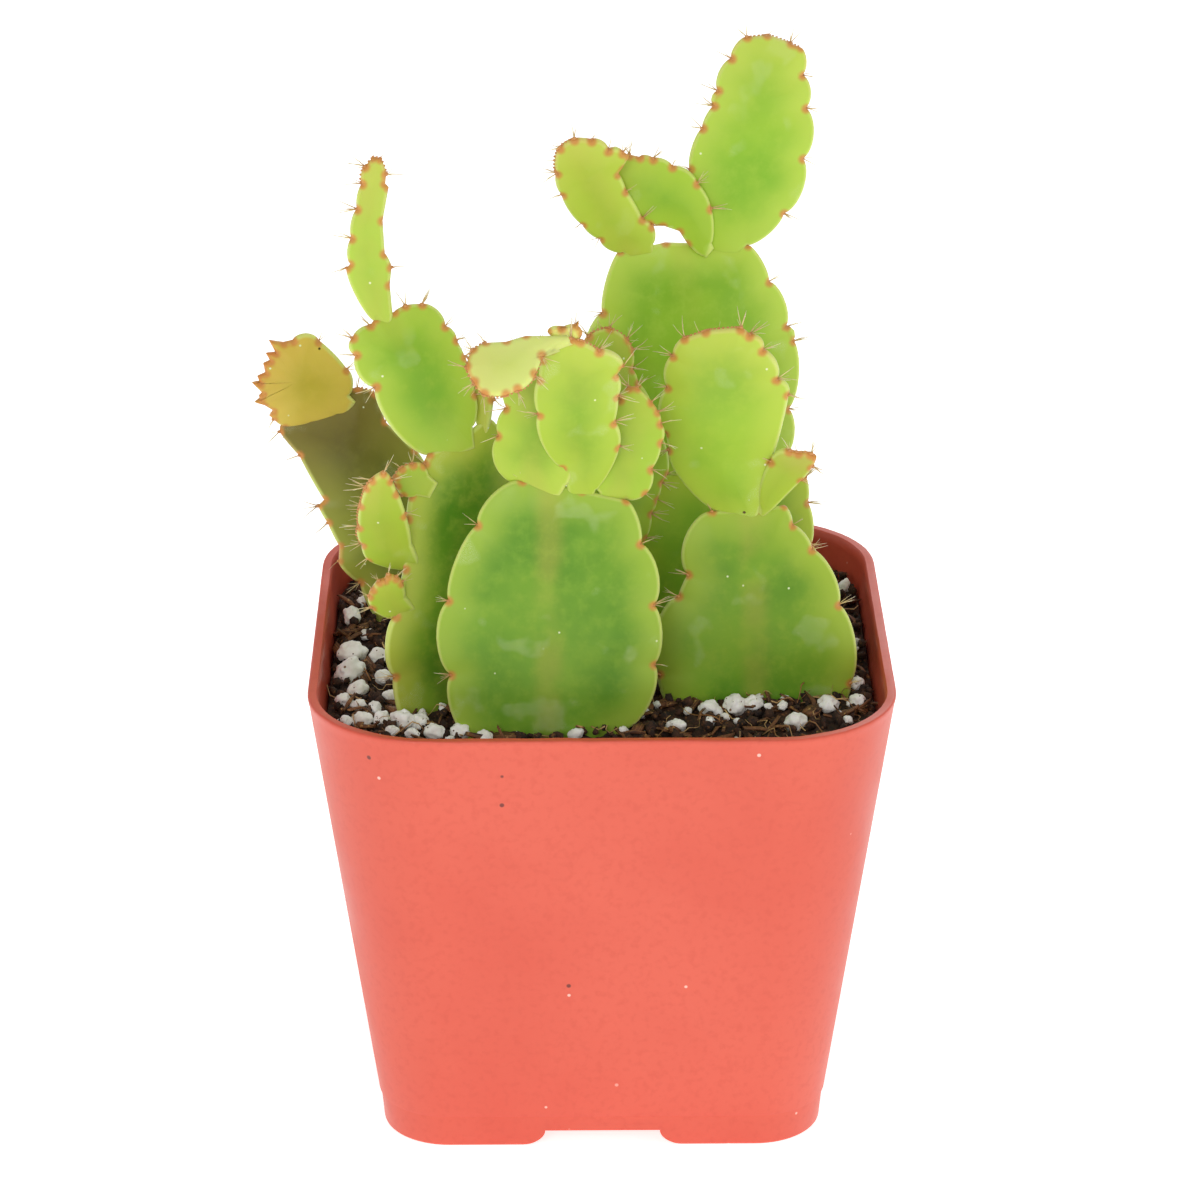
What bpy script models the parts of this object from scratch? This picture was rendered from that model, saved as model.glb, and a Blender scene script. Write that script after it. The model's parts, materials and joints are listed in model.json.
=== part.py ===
"""A potted holiday cactus.

Six leafy stems, each a chain of flat scalloped pads grown one from the next, stand in a
gritty mix of bark and perlite in a small square plastic pot. The tables are in
millimetres, measured from the middle of the pot's foot; the scene is in metres, +Z up,
with its origin under the middle of the whole plant.
"""
import math
import random
from collections import namedtuple

import bmesh
import bpy
from mathutils import Matrix, Vector, noise

MM = 0.001
POT_X = 3.54  # the pot stands this far right of the middle, because one pad reaches far left

# Pot
POT_TOP = 60.0
POT_BOTTOM = 46.0
POT_HEIGHT = 49.7
TOP_CORNER = 12.8
BOTTOM_CORNER = 7.0
WALL = 0.9
RIM = 1.0
RIM_DEPTH = 1.2
RIM_ROUND = 0.3
STEP_HEIGHT = 3.7
STEP_DEPTH = 0.15
SKIRT = 1.3
FLOOR_UNDER = 2.1
FLOOR = 1.0
FOOT_GAP = [(9.2, -1.0), (9.2, 0.0), (7.5, 0.45), (6.7, 1.0), (6.0, 1.9)]
DRAINS = [(0.0, 0.0, 3.5), (11.0, 11.0, 2.5), (-11.0, 11.0, 2.5), (-11.0, -11.0, 2.5), (11.0, -11.0, 2.5)]

# Potting mix
GAP = 0.35
SOIL_TOP = 46.0
SOIL_BOTTOM = FLOOR_UNDER + FLOOR + GAP
SOIL_RELIEF = 0.7
SOIL_RINGS = (0.15, 0.3, 0.45, 0.6, 0.75, 0.88, 1.0)
# perlite grains where the photograph shows them: x, y, radius
PERLITE = [
    (-26.6, 10.4, 1.1), (-25.4, 14.0, 0.8), (-26.3, 0.0, 1.6), (-26.3, -5.0, 1.6), (-23.3, -1.0, 1.3),
    (-22.6, -6.0, 1.0), (-25.2, -9.7, 1.1), (-26.6, -12.2, 1.0), (-25.0, -13.2, 0.8), (-21.8, -10.9, 0.8),
    (-23.3, -13.6, 0.7), (-24.5, -16.7, 1.1), (-22.5, -16.5, 1.0), (-26.3, -17.2, 0.8), (-20.3, -18.0, 1.3),
    (-18.7, -17.8, 1.1), (-18.4, -15.3, 0.6), (-16.3, -14.6, 0.6), (-17.0, -20.2, 1.1), (-14.5, -19.6, 1.1),
    (-21.4, -20.8, 0.8), (-19.3, -21.2, 0.8), (-11.9, -22.2, 1.0), (5.7, -13.2, 0.5), (7.8, -18.6, 0.9),
    (8.8, -14.8, 0.5), (11.1, -14.3, 1.3), (11.0, -18.4, 0.6), (12.6, -16.8, 0.5), (13.7, -13.8, 1.3),
    (15.6, -13.5, 1.1), (17.2, -13.6, 0.5), (18.6, -13.7, 0.6), (19.7, -18.0, 1.3), (23.3, -13.9, 1.1),
    (26.3, -13.2, 1.0), (26.6, -8.2, 0.8), (25.2, -17.4, 0.6),
]
GRAIN_SINK = 0.3
SCATTERED_PERLITE = 12
BARK_CHIPS = 24

# Pads
ROOT_DEPTH = 1.6
EDGE_HALF = 0.5
MIDDLE_HALF = 1.3
INNER_RING = 0.6
BRISTLE_RADIUS = 0.2
BRISTLE_SINK = 0.7

# A pad's root is x, y, z for a pad that stands in the mix, and otherwise across, along and
# out of the face of the pad that it grows from. It leans right, tilts back and turns its
# right edge back, in degrees, and bends back by its arch. Its edge runs from the root up
# the left side, over the tip and down the right, as read off the photograph with a
# millimetre ruler: each row is a bristly notch, across and along, and how far the round
# lobe before it swells. A row that swells 0 ends a straight stretch, and is bare.
Pad = namedtuple("Pad", "name stem parent root lean tilt turn arch edge")

PADS = [
    Pad("front_base", "stem_front", None, (-3, -20, 38), 0, 6, 0, 6, [
        (-2, 0, 0), (-8, 5, 0.8), (-12.3, 14, 1.9), (-12.5, 21.7, 1.4), (-9.5, 29.5, 0.9),
        (-5, 34, 1.2), (-2, 33.8, 0), (1, 33, 0), (5.5, 32, 0), (6.9, 27.5, 0.6), (8.2, 21.2, 1.2),
        (8.3, 15, 0.9), (5, 8, 1.4), (2, 0, 0.8)]),
    Pad("front_top_left", "stem_front", "front_base", (-3.5, 33.7), -14, 4, -15, 10, [
        (-1.9, 0.3, 0), (-2.7, 5.6, 1.6), (-1.2, 8.2, 0.6), (-1, 11.5, 0.3), (1.5, 13.6, 0.6),
        (4.3, 13, 0), (5.6, 10, 0), (5.4, 5, 0), (3, -0.6, 0.6)]),
    Pad("front_top_middle", "stem_front", "front_base", (1, 33), 0, -14, 4, -8, [
        (-1.5, 0.3, 0), (-2, 3, 0), (-4.3, 9.8, 1), (-4.3, 14.3, 0.5), (-4.1, 16.8, 0.1),
        (-3.2, 18.2, 0.1), (-1.2, 19.3, 0.2), (-0.2, 19, 0), (1.6, 17.6, 0.1), (4, 15.4, 0.7),
        (3.4, 14.3, 0), (3.5, 11.7, 0.4), (3.2, 8.4, 0.2), (3.7, 5.3, 0.4), (1.4, 0.1, 0.4)]),
    Pad("front_top_right", "stem_front", "front_base", (4, 32.2, -0.5), 16, 5, 4, 6, [
        (-1.4, 0.2, 0), (-3, 4.6, 0.5), (-2.6, 8, 0.4), (-2, 10, 0.1), (-1.4, 11.4, 0.3),
        (-0.6, 11.6, 0.1), (1.2, 10.5, 0.1), (2.1, 9.7, 0.1), (2.7, 8.6, 0.2), (3.3, 6.7, 0.4),
        (3.1, 3.8, 0.3), (3.2, 1.2, 0.5), (1.4, 0.2, 0.4)]),
    Pad("front_young_tip", "stem_front", "front_top_middle", (-2.4, 18.7, 0.5), -97, -12, 35, 0, [
        (-0.1, 0.6, 0), (-0.7, 1.9, 0.1), (-2.4, 3, 0.1), (-3.6, 5, 0.3), (-3.9, 6.2, 0),
        (-3.4, 8.3, 0.1), (-2, 9, 0.1), (-0.3, 9.4, 0.1), (1.3, 8.4, 0.1), (1.8, 7, 0.1), (1.5, 5, 0),
        (1.7, 3, 0), (1.2, 0.4, 0)]),
    Pad("front_tip_bud", "stem_front", "front_top_middle", (-0.7, 18.9, -0.6), 12, 12, 0, 0, [
        (-2, -0.5, 0), (-2.8, 0, 0.1), (-1.5, 0.6, 0.4), (-0.2, 1.2, 0.2), (0, 1.7, 0), (0.1, 1.1, 0),
        (0.6, 0.5, 0.1), (0.3, -0.3, 0.1)]),

    Pad("middle_base", "stem_middle", None, (0.5, -5, 38), 2, 3, 0, 3, [
        (-1.7, 0, 0), (-4, 7, 1), (-4, 14, 1), (-2.5, 19.8, 1), (2, 19.8, 0), (4, 14, 1), (4, 7, 1),
        (1.7, 0, 0.8)]),
    Pad("middle_top", "stem_middle", "middle_base", (0.8, 20), 3, 3, 14, 5, [
        (-1.1, 0, 0), (-3.5, 6.5, 0.8), (-4.6, 12.5, 1), (-5.2, 18.5, 1), (-4.9, 23.8, 0.6),
        (-4.4, 24.5, 0.1), (-2.2, 25.3, 0.3), (-0.3, 24.1, 0.2), (0.3, 23, 0.1), (0.3, 21, 0.2),
        (1, 19.5, 0.2), (3.2, 14.5, 0.6), (4.6, 9.7, 0.6), (4, 8.8, 0.1), (3.6, 7, 0.2), (3, 5.5, 0.2),
        (2.6, 2.8, 0.3), (1.4, 0, 0.2)]),

    Pad("right_base", "stem_right", None, (16.5, -11, 38), 0, 5, 4, 8, [
        (-2, 0, 0), (-7, 4, 0.8), (-10.5, 10.5, 1), (-8.5, 18.7, 1.6), (-7.5, 21, 0.1), (-5, 27.5, 1.7),
        (0, 27.7, 0), (2.5, 28, 0), (3.3, 25.9, 0.3), (5.3, 23.3, 0.5), (8.1, 17.4, 1), (9.4, 9, 1.2),
        (5.5, 3, 1), (2, 0, 0.8)]),
    Pad("right_top", "stem_right", "right_base", (-2, 27.5), -4, -6, -8, -6, [
        (-2.1, 0, 0), (-7, 7.2, 1.2), (-7.2, 9.2, 0), (-6.6, 14.5, 0.9), (-5.8, 18.2, 0.7),
        (-4.5, 20.3, 0.4), (-2.3, 21.1, 0), (1.3, 21.4, 0.1), (2.1, 20.6, 0.1), (3.3, 18.8, 0.7),
        (4.5, 15.3, 0.8), (5.6, 13.5, 0.6), (3.4, 5.7, 0.2), (2.1, 0.5, 0.3)]),
    Pad("right_side", "stem_right", "right_base", (1, 27.8, 0.8), 40, -16, 0, 0, [
        (-1.2, -0.5, 0), (-3.7, 4.4, 0.5), (-3.2, 6.8, 0.6), (-2.4, 7.3, 0), (-1.4, 8.1, 0.1),
        (-0.8, 8.2, 0), (-0.3, 7, 0.1), (0, 5, 0.1), (0.2, 0.5, 0)]),

    Pad("tall_base", "stem_tall", None, (14, 5, 38), 4, 4, 6, 4, [
        (-2.2, 0, 0), (-7.5, 4, 0.6), (-11, 9, 0.6), (-12, 16, 1.2), (-10.5, 23, 1.5), (-6.5, 26, 1),
        (-2.5, 26.3, 0), (3.4, 27.2, 0), (6.2, 25.7, 0.5), (6.6, 22.9, 0.3), (7.3, 18.3, 0.5),
        (7.3, 9.5, 1.5), (5.5, 2.5, 1), (2.2, 0, 0.8)]),
    Pad("tall_second", "stem_tall", "tall_base", (-4.5, 25.7), -3, 3, 8, 4, [
        (-2, 0, 0), (-8.5, 3.5, 0.8), (-12, 10, 0.8), (-10, 18.5, 1.4), (-7.8, 24.9, 0.6),
        (-5, 25.1, 0), (-3, 25.4, 0), (0, 25, 0), (5.7, 24.3, 0), (7.7, 20.2, 0.5), (9.3, 15.2, 0.9),
        (10, 13.6, 0.6), (9.1, 6.3, 0.9), (8.6, 1.2, 0.9), (5, -0.8, 0.8), (2, 0, 0)]),
    Pad("tall_arm_left", "stem_tall", "tall_second", (-6.2, 25.1, 0.3), -32, -16, -4, 0, [
        (-1.3, 0.4, 0), (-2.4, 3.2, 0.6), (-3, 5.8, 0.3), (-2.9, 10, 0.4), (-2, 12.5, 0.4),
        (-0.2, 15, 0.4), (1.6, 15.1, 0.2), (3, 14, 0.1), (3.8, 12, 0.5), (4.9, 10.9, 0.4),
        (5.2, 10.1, 0), (4, 9.3, 0), (3.2, 8.9, 0), (2.8, 6.6, 0.1), (2.5, 2.8, 0.1), (2.9, 1.4, 0.1),
        (1.9, -0.5, 0.3)]),
    Pad("tall_arm_bent", "stem_tall", "tall_second", (0.3, 25, 1), -50, -4, 4, 0, [
        (-0.8, -0.5, 0), (-0.6, 1, 0), (-0.1, 2.5, 0), (-0.7, 4.3, 0), (-1.4, 5.5, 0), (-1.6, 9, 0),
        (0, 12, 0), (2, 12.6, 0), (3, 11.9, 0.1), (3.5, 10.9, 0), (4.2, 9.7, 0.3), (4.8, 7.6, 0.4),
        (5, 4.4, 0.6), (3.8, 1.5, 0.3), (1, -1, 0.3)]),
    Pad("tall_tip", "stem_tall", "tall_second", (3, 24.8), 12, 6, 6, 4, [
        (-2.2, -0.6, 0), (-4.4, 3.2, 0.8), (-5, 7, 0.3), (-4.6, 11.4, 0.5), (-3.9, 13.9, 0.3),
        (-3.8, 15.5, 0.5), (-3.1, 19, 0.7), (-2, 21.5, 0.5), (0, 22.1, 0), (2.6, 21.7, 0.1),
        (3.7, 21.5, 0), (4.5, 18.7, 0.6), (5.6, 15.4, 0.8), (6.4, 10.2, 1.1), (5.7, 4.2, 1.2),
        (2.6, 0.2, 0.7)]),

    Pad("left_base", "stem_left", None, (-17.5, -13, 38), 6, 4, 26, 4, [
        (-1.8, 0, 0), (-3.5, 5, 0.4), (-5.5, 11.5, 0.5), (-6, 18, 1.1), (-5.4, 23, 0),
        (-5.5, 28.3, 0.3), (-5.3, 30.7, 0.1), (-3.9, 34, 0.4), (-3.5, 35, 0), (0, 36.5, 0),
        (2.7, 38.5, 0), (4.4, 36.8, 0.4), (6.2, 29, 1), (5.5, 20.5, 1.2), (3.5, 12, 1.1), (3, 5, 0.4),
        (1.8, 0, 0.5)]),
    Pad("left_second", "stem_left", "left_base", (-0.7, 36.2), -22, 3, 16, 6, [
        (-3, -0.1, 0), (-5.1, 8.6, 1.3), (-5.6, 12.4, 0.9), (-5.2, 14.1, 0.6), (-3.1, 14.5, 0.4),
        (-2.4, 14.9, 0), (-0.3, 14.7, 0), (1, 14.8, 0.1), (2.6, 14.2, 0.1), (3.8, 11.2, 0.7),
        (4.3, 9.4, 0.4), (4.4, 7.5, 0.1), (3.8, 3.5, 0.2), (2.3, 0.6, 0.4)]),
    Pad("left_tip", "stem_left", "left_second", (-1.6, 14.5), -6, 2, 0, 4, [
        (-1, 0, 0), (-3, 5.7, 0.5), (-2.6, 6.1, 0), (-2.1, 8.7, 0.4), (-1.2, 11.6, 0.4),
        (-0.4, 14.1, 0.3), (0.1, 15.8, 0.3), (1, 16.7, 0), (1.7, 16.5, 0), (2.1, 14.8, 0.1),
        (1.9, 13.9, 0), (2.2, 13.5, 0), (1.2, 10.2, 0), (1, 6.8, 0), (1.5, 5.3, 0.1), (1.1, 3.5, 0),
        (1, 0.3, 0)]),
    Pad("left_back_bud", "stem_left", "left_base", (2.5, 38), 4, 10, -20, 0, [
        (-0.7, -0.3, 0), (-1.2, 2.5, 0.2), (-1.2, 5.5, 0.3), (0.2, 6.8, 0.4), (1.2, 5.5, 0.3),
        (0.9, 2.5, 0.2), (0.7, 0, 0)]),
    Pad("left_round_bud", "stem_left", "left_base", (-4.5, 32, 0.6), -58, -14, 10, 0, [
        (-1.2, -0.1, 0), (-1.8, 1.2, 0.2), (-1.2, 2.3, 0.1), (-0.4, 2.9, 0.1), (0.7, 2.8, 0.1),
        (1.6, 1.9, 0.1), (2, 0.8, 0.2), (1.3, -0.2, 0.1)]),
    Pad("left_side_pad", "stem_left", "left_base", (-5, 24.5, 0.3), -24, -20, -10, -6, [
        (-1.3, -1.4, 0), (-4.1, 1.2, 0.4), (-3.7, 3.4, 0.3), (-3, 5.8, 0.4), (-1.6, 8.6, 0.2),
        (0, 10.8, 0.1), (1, 11.6, 0.1), (2.6, 12.1, 0.1), (2.8, 10.7, 0.1), (2.6, 8.8, 0),
        (2.1, 5.7, 0.1), (0.9, 1.5, 0.1)]),
    Pad("left_low_bud", "stem_left", "left_base", (-5.5, 19.5, 0.3), -42, -16, -5, 0, [
        (-1.8, -0.9, 0), (-2.5, 1.8, 0.4), (-1.7, 3.1, 0.2), (-0.9, 3.5, 0.1), (0.3, 3.8, 0.1),
        (0.9, 3.6, 0), (1.5, 3.7, 0.1), (1.9, 2.9, 0.1), (1.9, 2, 0.1), (0.9, 0.4, 0.1)]),

    Pad("far_left_base", "stem_far_left", None, (-20.5, 11, 38), -17, 8, 14, 6, [
        (-1.2, 0, 0), (-0.9, 7, 0.3), (-1.7, 12.5, 0.4), (-3.2, 15.5, 0.4), (-2.6, 17, 0),
        (-3, 19.8, 0.1), (-3.4, 21.9, 0.1), (-2.6, 22.3, 0), (-3.6, 27.7, 0.1), (-4.8, 30.8, 0.1),
        (-4.2, 31.7, 0.1), (2.4, 32.2, 0), (4.6, 32.5, 0.2), (6.2, 31.4, 0.2), (6.3, 28.2, 0.1),
        (8.4, 24.2, 0), (8.6, 19, 0.6), (7, 12, 1), (4.5, 5.5, 0.8), (1.2, 0, 0.6)]),
    Pad("far_left_young", "stem_far_left", "far_left_base", (2, 31.5, 0.6), -62, -13, 0, 0, [
        (-1, -0.5, 0), (-3.1, 1.6, 0.3), (-4.5, 4.2, 0.4), (-4.2, 5.7, 0.1), (-4, 6.3, 0),
        (-3.3, 6.2, 0), (-3.1, 7.4, 0), (-3.2, 8.5, 0), (-2.7, 8.1, 0), (-2.3, 8.4, 0), (-1.9, 8.2, 0),
        (-1.2, 9.8, 0), (-0.9, 9, 0), (-0.3, 9.6, 0), (0.4, 9, 0), (1.3, 9.7, 0), (1.9, 9.2, 0),
        (2.5, 10, 0), (3, 9.1, 0), (4, 10.4, 0), (4.4, 8.8, 0), (5, 8, 0), (6, 5.4, 0.8),
        (4.2, 1.1, 0.2), (1.6, -0.5, 0.6)]),
]
PAD_BY_NAME = {pad.name: pad for pad in PADS}

Pose = namedtuple("Pose", "origin across along facing length arch")


def scene_point(x, y, z):
    return Vector((x + POT_X, y, z)) * MM


def make_object(name, bm):
    """Turns the bmesh into a new object of this name."""
    bmesh.ops.recalc_face_normals(bm, faces=bm.faces)
    mesh = bpy.data.meshes.new(name)
    bm.to_mesh(mesh)
    bm.free()
    obj = bpy.data.objects.new(name, mesh)
    bpy.context.scene.collection.objects.link(obj)
    return obj


def make_cutter(name, bm):
    cutter = make_object(name, bm)
    cutter.hide_render = True
    cutter.display_type = "WIRE"
    return cutter


def paint(obj, colour, roughness):
    """Gives the object its own plain material."""
    material = bpy.data.materials.new(obj.name)
    material.use_nodes = True
    shader = material.node_tree.nodes["Principled BSDF"]
    shader.inputs["Base Color"].default_value = (*colour, 1.0)
    shader.inputs["Roughness"].default_value = roughness
    obj.data.materials.clear()
    obj.data.materials.append(material)


def cut(obj, cutter):
    boolean = obj.modifiers.new(cutter.name, "BOOLEAN")
    boolean.operation = "DIFFERENCE"
    boolean.object = cutter


def unite(name, pieces):
    """Fuses the pieces into one object of this name and removes them."""
    body = pieces[0]
    extras = bpy.data.collections.new(name + "_pieces")
    for piece in pieces[1:]:
        extras.objects.link(piece)
    boolean = body.modifiers.new("union", "BOOLEAN")
    boolean.operation = "UNION"
    boolean.operand_type = "COLLECTION"
    boolean.collection = extras
    boolean.solver = "EXACT"
    fused = bpy.data.meshes.new_from_object(body.evaluated_get(bpy.context.evaluated_depsgraph_get()))
    for piece in pieces:
        bpy.data.objects.remove(piece)
    bpy.data.collections.remove(extras)
    fused.name = name
    obj = bpy.data.objects.new(name, fused)
    bpy.context.scene.collection.objects.link(obj)
    return obj


def band(bm, lower, upper):
    """Joins two rings of as many points with a band of faces."""
    for index in range(len(lower)):
        bm.faces.new((lower[index - 1], lower[index], upper[index], upper[index - 1]))


def round_square(width, corner, height, steps=6):
    """A square with round corners, anticlockwise from above."""
    reach = width / 2 - corner
    points = []
    for quarter in range(4):
        side_x = 1 if quarter in (0, 3) else -1
        side_y = 1 if quarter in (0, 1) else -1
        for step in range(steps + 1):
            angle = math.radians(90 * (quarter + step / steps))
            x = side_x * reach + corner * math.cos(angle)
            y = side_y * reach + corner * math.sin(angle)
            points.append(scene_point(x, y, height))
    return points


def pot_square(height, inset=0.0):
    """The pot's outline at a height, moved in by the inset."""
    part = height / POT_HEIGHT
    width = POT_BOTTOM + (POT_TOP - POT_BOTTOM) * part - 2 * inset
    corner = BOTTOM_CORNER + (TOP_CORNER - BOTTOM_CORNER) * part - inset
    return width, corner


def loft(bm, rings):
    """Joins one ring of points to the next and closes the first and the last."""
    loops = [[bm.verts.new(point) for point in ring] for ring in rings]
    for lower, upper in zip(loops, loops[1:]):
        band(bm, lower, upper)
    bm.faces.new(loops[0])
    bm.faces.new(loops[-1])


def prism(bm, profile, place, start, end):
    """Extrudes a flat outline: place(a, b, c) turns outline and depth into a point."""
    front = [bm.verts.new(place(a, b, start)) for a, b in profile]
    face = bm.faces.new(front)
    moved = bmesh.ops.extrude_face_region(bm, geom=[face])["geom"]
    shift = place(0, 0, end) - place(0, 0, start)
    bmesh.ops.translate(bm, verts=[item for item in moved if isinstance(item, bmesh.types.BMVert)], vec=shift)


def make_pot():
    """A thin moulded shell with a raised floor, drain holes and a skirt open at each side."""
    inside = FLOOR_UNDER + FLOOR
    heights = [
        (FLOOR_UNDER, SKIRT), (0.0, SKIRT), (0.0, 0.0),
        (STEP_HEIGHT, STEP_DEPTH), (STEP_HEIGHT, 0.0),
        (POT_HEIGHT - RIM_ROUND, 0.0), (POT_HEIGHT, RIM_ROUND), (POT_HEIGHT, RIM),
        (POT_HEIGHT - RIM_DEPTH, RIM), (POT_HEIGHT - RIM_DEPTH, WALL), (inside, WALL),
    ]
    bm = bmesh.new()
    loft(bm, [round_square(*pot_square(height, inset), height) for height, inset in heights])
    pot = make_object("pot", bm)

    arch = FOOT_GAP + [(-a, b) for a, b in reversed(FOOT_GAP)]
    reach = POT_BOTTOM / 2 + SKIRT
    notches = {
        "notch_front_back": lambda a, b, c: scene_point(a, c, b),
        "notch_left_right": lambda a, b, c: scene_point(c, a, b),
    }
    for name, place in notches.items():
        bm = bmesh.new()
        prism(bm, arch, place, -reach, reach)
        cut(pot, make_cutter(name, bm))
    for number, (x, y, radius) in enumerate(DRAINS, 1):
        bm = bmesh.new()
        middle = scene_point(x, y, FLOOR_UNDER + FLOOR / 2)
        bmesh.ops.create_cone(
            bm, cap_ends=True, segments=16, radius1=radius * MM, radius2=radius * MM,
            depth=3 * FLOOR * MM, matrix=Matrix.Translation(middle))
        cut(pot, make_cutter("drain_%d" % number, bm))
    paint(pot, (0.73, 0.13, 0.08), 0.45)
    return pot


def pad_pose(pad):
    """Where the pad's root is and which way the pad runs and faces, in millimetres."""
    lean, tilt, turn = (math.radians(angle) for angle in (pad.lean, pad.tilt, pad.turn))
    along = Vector((math.sin(lean) * math.cos(tilt), math.sin(tilt), math.cos(lean) * math.cos(tilt)))
    facing = Vector((0, -1, 0))
    facing = (facing - along * facing.dot(along)).normalized()
    across = along.cross(facing)
    across, facing = (
        across * math.cos(turn) - facing * math.sin(turn),
        facing * math.cos(turn) + across * math.sin(turn))
    if pad.parent:
        parent = PAD_BY_NAME[pad.parent]
        origin = on_pad(pad_pose(parent), *pad.root)
    else:
        origin = Vector(pad.root)
    length = max(row[1] for row in pad.edge)
    return Pose(origin, across, along, facing, length, math.radians(pad.arch))


def on_pad(pose, across, along, out=0.0):
    """The point at this place on the bent pad, and this far out of its face."""
    if pose.arch:
        radius = pose.length / pose.arch
        angle = along / radius
        rise = (radius + out) * math.sin(angle)
        depth = (radius + out) * math.cos(angle) - radius
    else:
        rise, depth = along, out
    return pose.origin + pose.across * across + pose.along * rise + pose.facing * depth


def lobe(start, end, swell, steps):
    """The points after start up to end along one round lobe of the edge."""
    chord = end - start
    outward = Vector((-chord.y, chord.x)).normalized()
    points = []
    for step in range(1, steps + 1):
        part = step / steps
        height = swell * (4 * part * (1 - part)) ** 0.62
        points.append(start + chord * part + outward * height)
    return points


def pad_outline(pad):
    """The pad's whole edge, scallop by scallop, from root to root."""
    rows = [Vector((across, along)) for across, along, _ in pad.edge]
    outline = [rows[0]]
    for start, end, (_, _, swell) in zip(rows, rows[1:], pad.edge[1:]):
        steps = 1 if not swell else 2 if abs(swell) < 0.35 else 3
        outline.extend(lobe(start, end, swell, steps))
    if pad.parent:
        left, right = outline[0], outline[-1]
        outline = [Vector((left.x * 0.7, -ROOT_DEPTH))] + outline + [Vector((right.x * 0.7, -ROOT_DEPTH))]
    return outline


def towards_middle(outline):
    """For each point of the edge, the point on the pad's middle line that faces it."""
    length = max(point.y for point in outline)
    lower = [point.x for point in outline if point.y < length / 2]
    upper = [point.x for point in outline if point.y >= length / 2]
    width = max(lower + upper) - min(lower + upper)
    reach = min(width / 2, length * 0.45)
    low = Vector(((min(lower) + max(lower)) / 2, reach))
    high = Vector(((min(upper) + max(upper)) / 2, length - reach))
    line = high - low
    parts = [min(max((point - low).dot(line) / line.length_squared, 0), 1) for point in outline]
    tip = max(range(len(outline)), key=lambda index: outline[index].y)
    for index in range(1, tip + 1):
        parts[index] = max(parts[index], parts[index - 1])
    for index in range(len(parts) - 2, tip, -1):
        parts[index] = max(parts[index], parts[index + 1])
    return [low + line * part for part in parts]


def smoothed(ring, passes=4):
    """The ring with its scallops worn away."""
    for _ in range(passes):
        following = ring[1:] + ring[:1]
        ring = [(ring[index - 1] + ring[index] * 2 + following[index]) / 4 for index in range(len(ring))]
    return ring


def pad_mesh(pad, grow=0.0):
    """A pad as a closed lens with a blunt edge. Grown, it is the hole that the pad stands in."""
    pose = pad_pose(pad)
    outline = pad_outline(pad)
    middles = towards_middle(outline)
    width = max(point.x for point in outline) - min(point.x for point in outline)
    middle_half = min(MIDDLE_HALF, 0.55 + 0.05 * width)
    edge = [point + (point - middle).normalized() * grow for point, middle in zip(outline, middles)]
    inner = smoothed([point.lerp(middle, INNER_RING) for point, middle in zip(outline, middles)])
    bm = bmesh.new()

    def ring(points, out):
        return [scene_point(*on_pad(pose, point.x, point.y, out)) for point in points]

    loft(bm, [
        ring(inner, middle_half + grow), ring(edge, EDGE_HALF + grow),
        ring(edge, -EDGE_HALF - grow), ring(inner, -middle_half - grow)])
    bmesh.ops.triangulate(bm, faces=bm.faces, ngon_method="BEAUTY")
    return bm


def bristle_mesh(pad, draw):
    """Two stiff three-sided bristles in each notch of the edge, roots sunk in."""
    pose = pad_pose(pad)
    rows = [Vector((across, along)) for across, along, _ in pad.edge]
    bm = bmesh.new()
    swells = [swell for _, _, swell in pad.edge]
    for before, notch, after, swell in zip(rows, rows[1:], rows[2:], swells[1:]):
        if not swell or (notch.y < ROOT_DEPTH and pad.parent):
            continue
        chord = (after - before).normalized()
        outward = Vector((-chord.y, chord.x))
        for side in (-1, 1):
            foot = notch + chord * (0.38 * side)
            reach = draw.uniform(1.6, 2.6)
            swing = math.radians(side * draw.uniform(8, 32))
            lift = draw.uniform(-0.35, 0.35)
            way = outward * math.cos(swing) + chord * math.sin(swing)
            root = foot - way * BRISTLE_SINK
            tip = foot + way * reach
            start = on_pad(pose, root.x, root.y)
            end = on_pad(pose, tip.x, tip.y, lift * reach)
            if end.z < SOIL_TOP + 1.5 or start.z < SOIL_TOP + 1.5:
                continue
            turn = (end - start).to_track_quat("Z", "Y").to_matrix()
            base = []
            for corner in range(3):
                angle = math.radians(120 * corner)
                offset = Vector((math.cos(angle), math.sin(angle), 0)) * BRISTLE_RADIUS
                base.append(bm.verts.new(scene_point(*(start + turn @ offset))))
            point = bm.verts.new(scene_point(*end))
            bm.faces.new(base)
            for corner in range(3):
                bm.faces.new((base[corner - 1], base[corner], point))
    return bm


def make_stem(name, colour, seed):
    """All the pads of one stem and their bristles, grown together."""
    draw = random.Random(seed)
    pieces = []
    for pad in PADS:
        if pad.stem != name:
            continue
        pieces.append(make_object(pad.name, pad_mesh(pad)))
        bristles = bristle_mesh(pad, draw)
        if bristles.faces:
            pieces.append(make_object(pad.name + "_bristles", bristles))
    stem = unite(name, pieces)
    paint(stem, colour, 0.4)
    return stem


def clear_of_pads(x, y, room):
    """True where a grain or chip of this radius stays off every pad at the mix's surface."""
    for pad in PADS:
        if pad.parent:
            continue
        pose = pad_pose(pad)
        rise = (SOIL_TOP - pose.origin.z) / pose.along.z
        sides = [point.x for point in pad_outline(pad) if abs(point.y - rise) < 5]
        left = on_pad(pose, min(sides), rise)
        right = on_pad(pose, max(sides), rise)
        start = Vector((left.x, left.y))
        span = Vector((right.x, right.y)) - start
        place = Vector((x, y))
        part = min(max((place - start).dot(span) / span.length_squared, 0), 1)
        if (place - start - span * part).length < room + MIDDLE_HALF + GAP:
            return False
    return True


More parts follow.
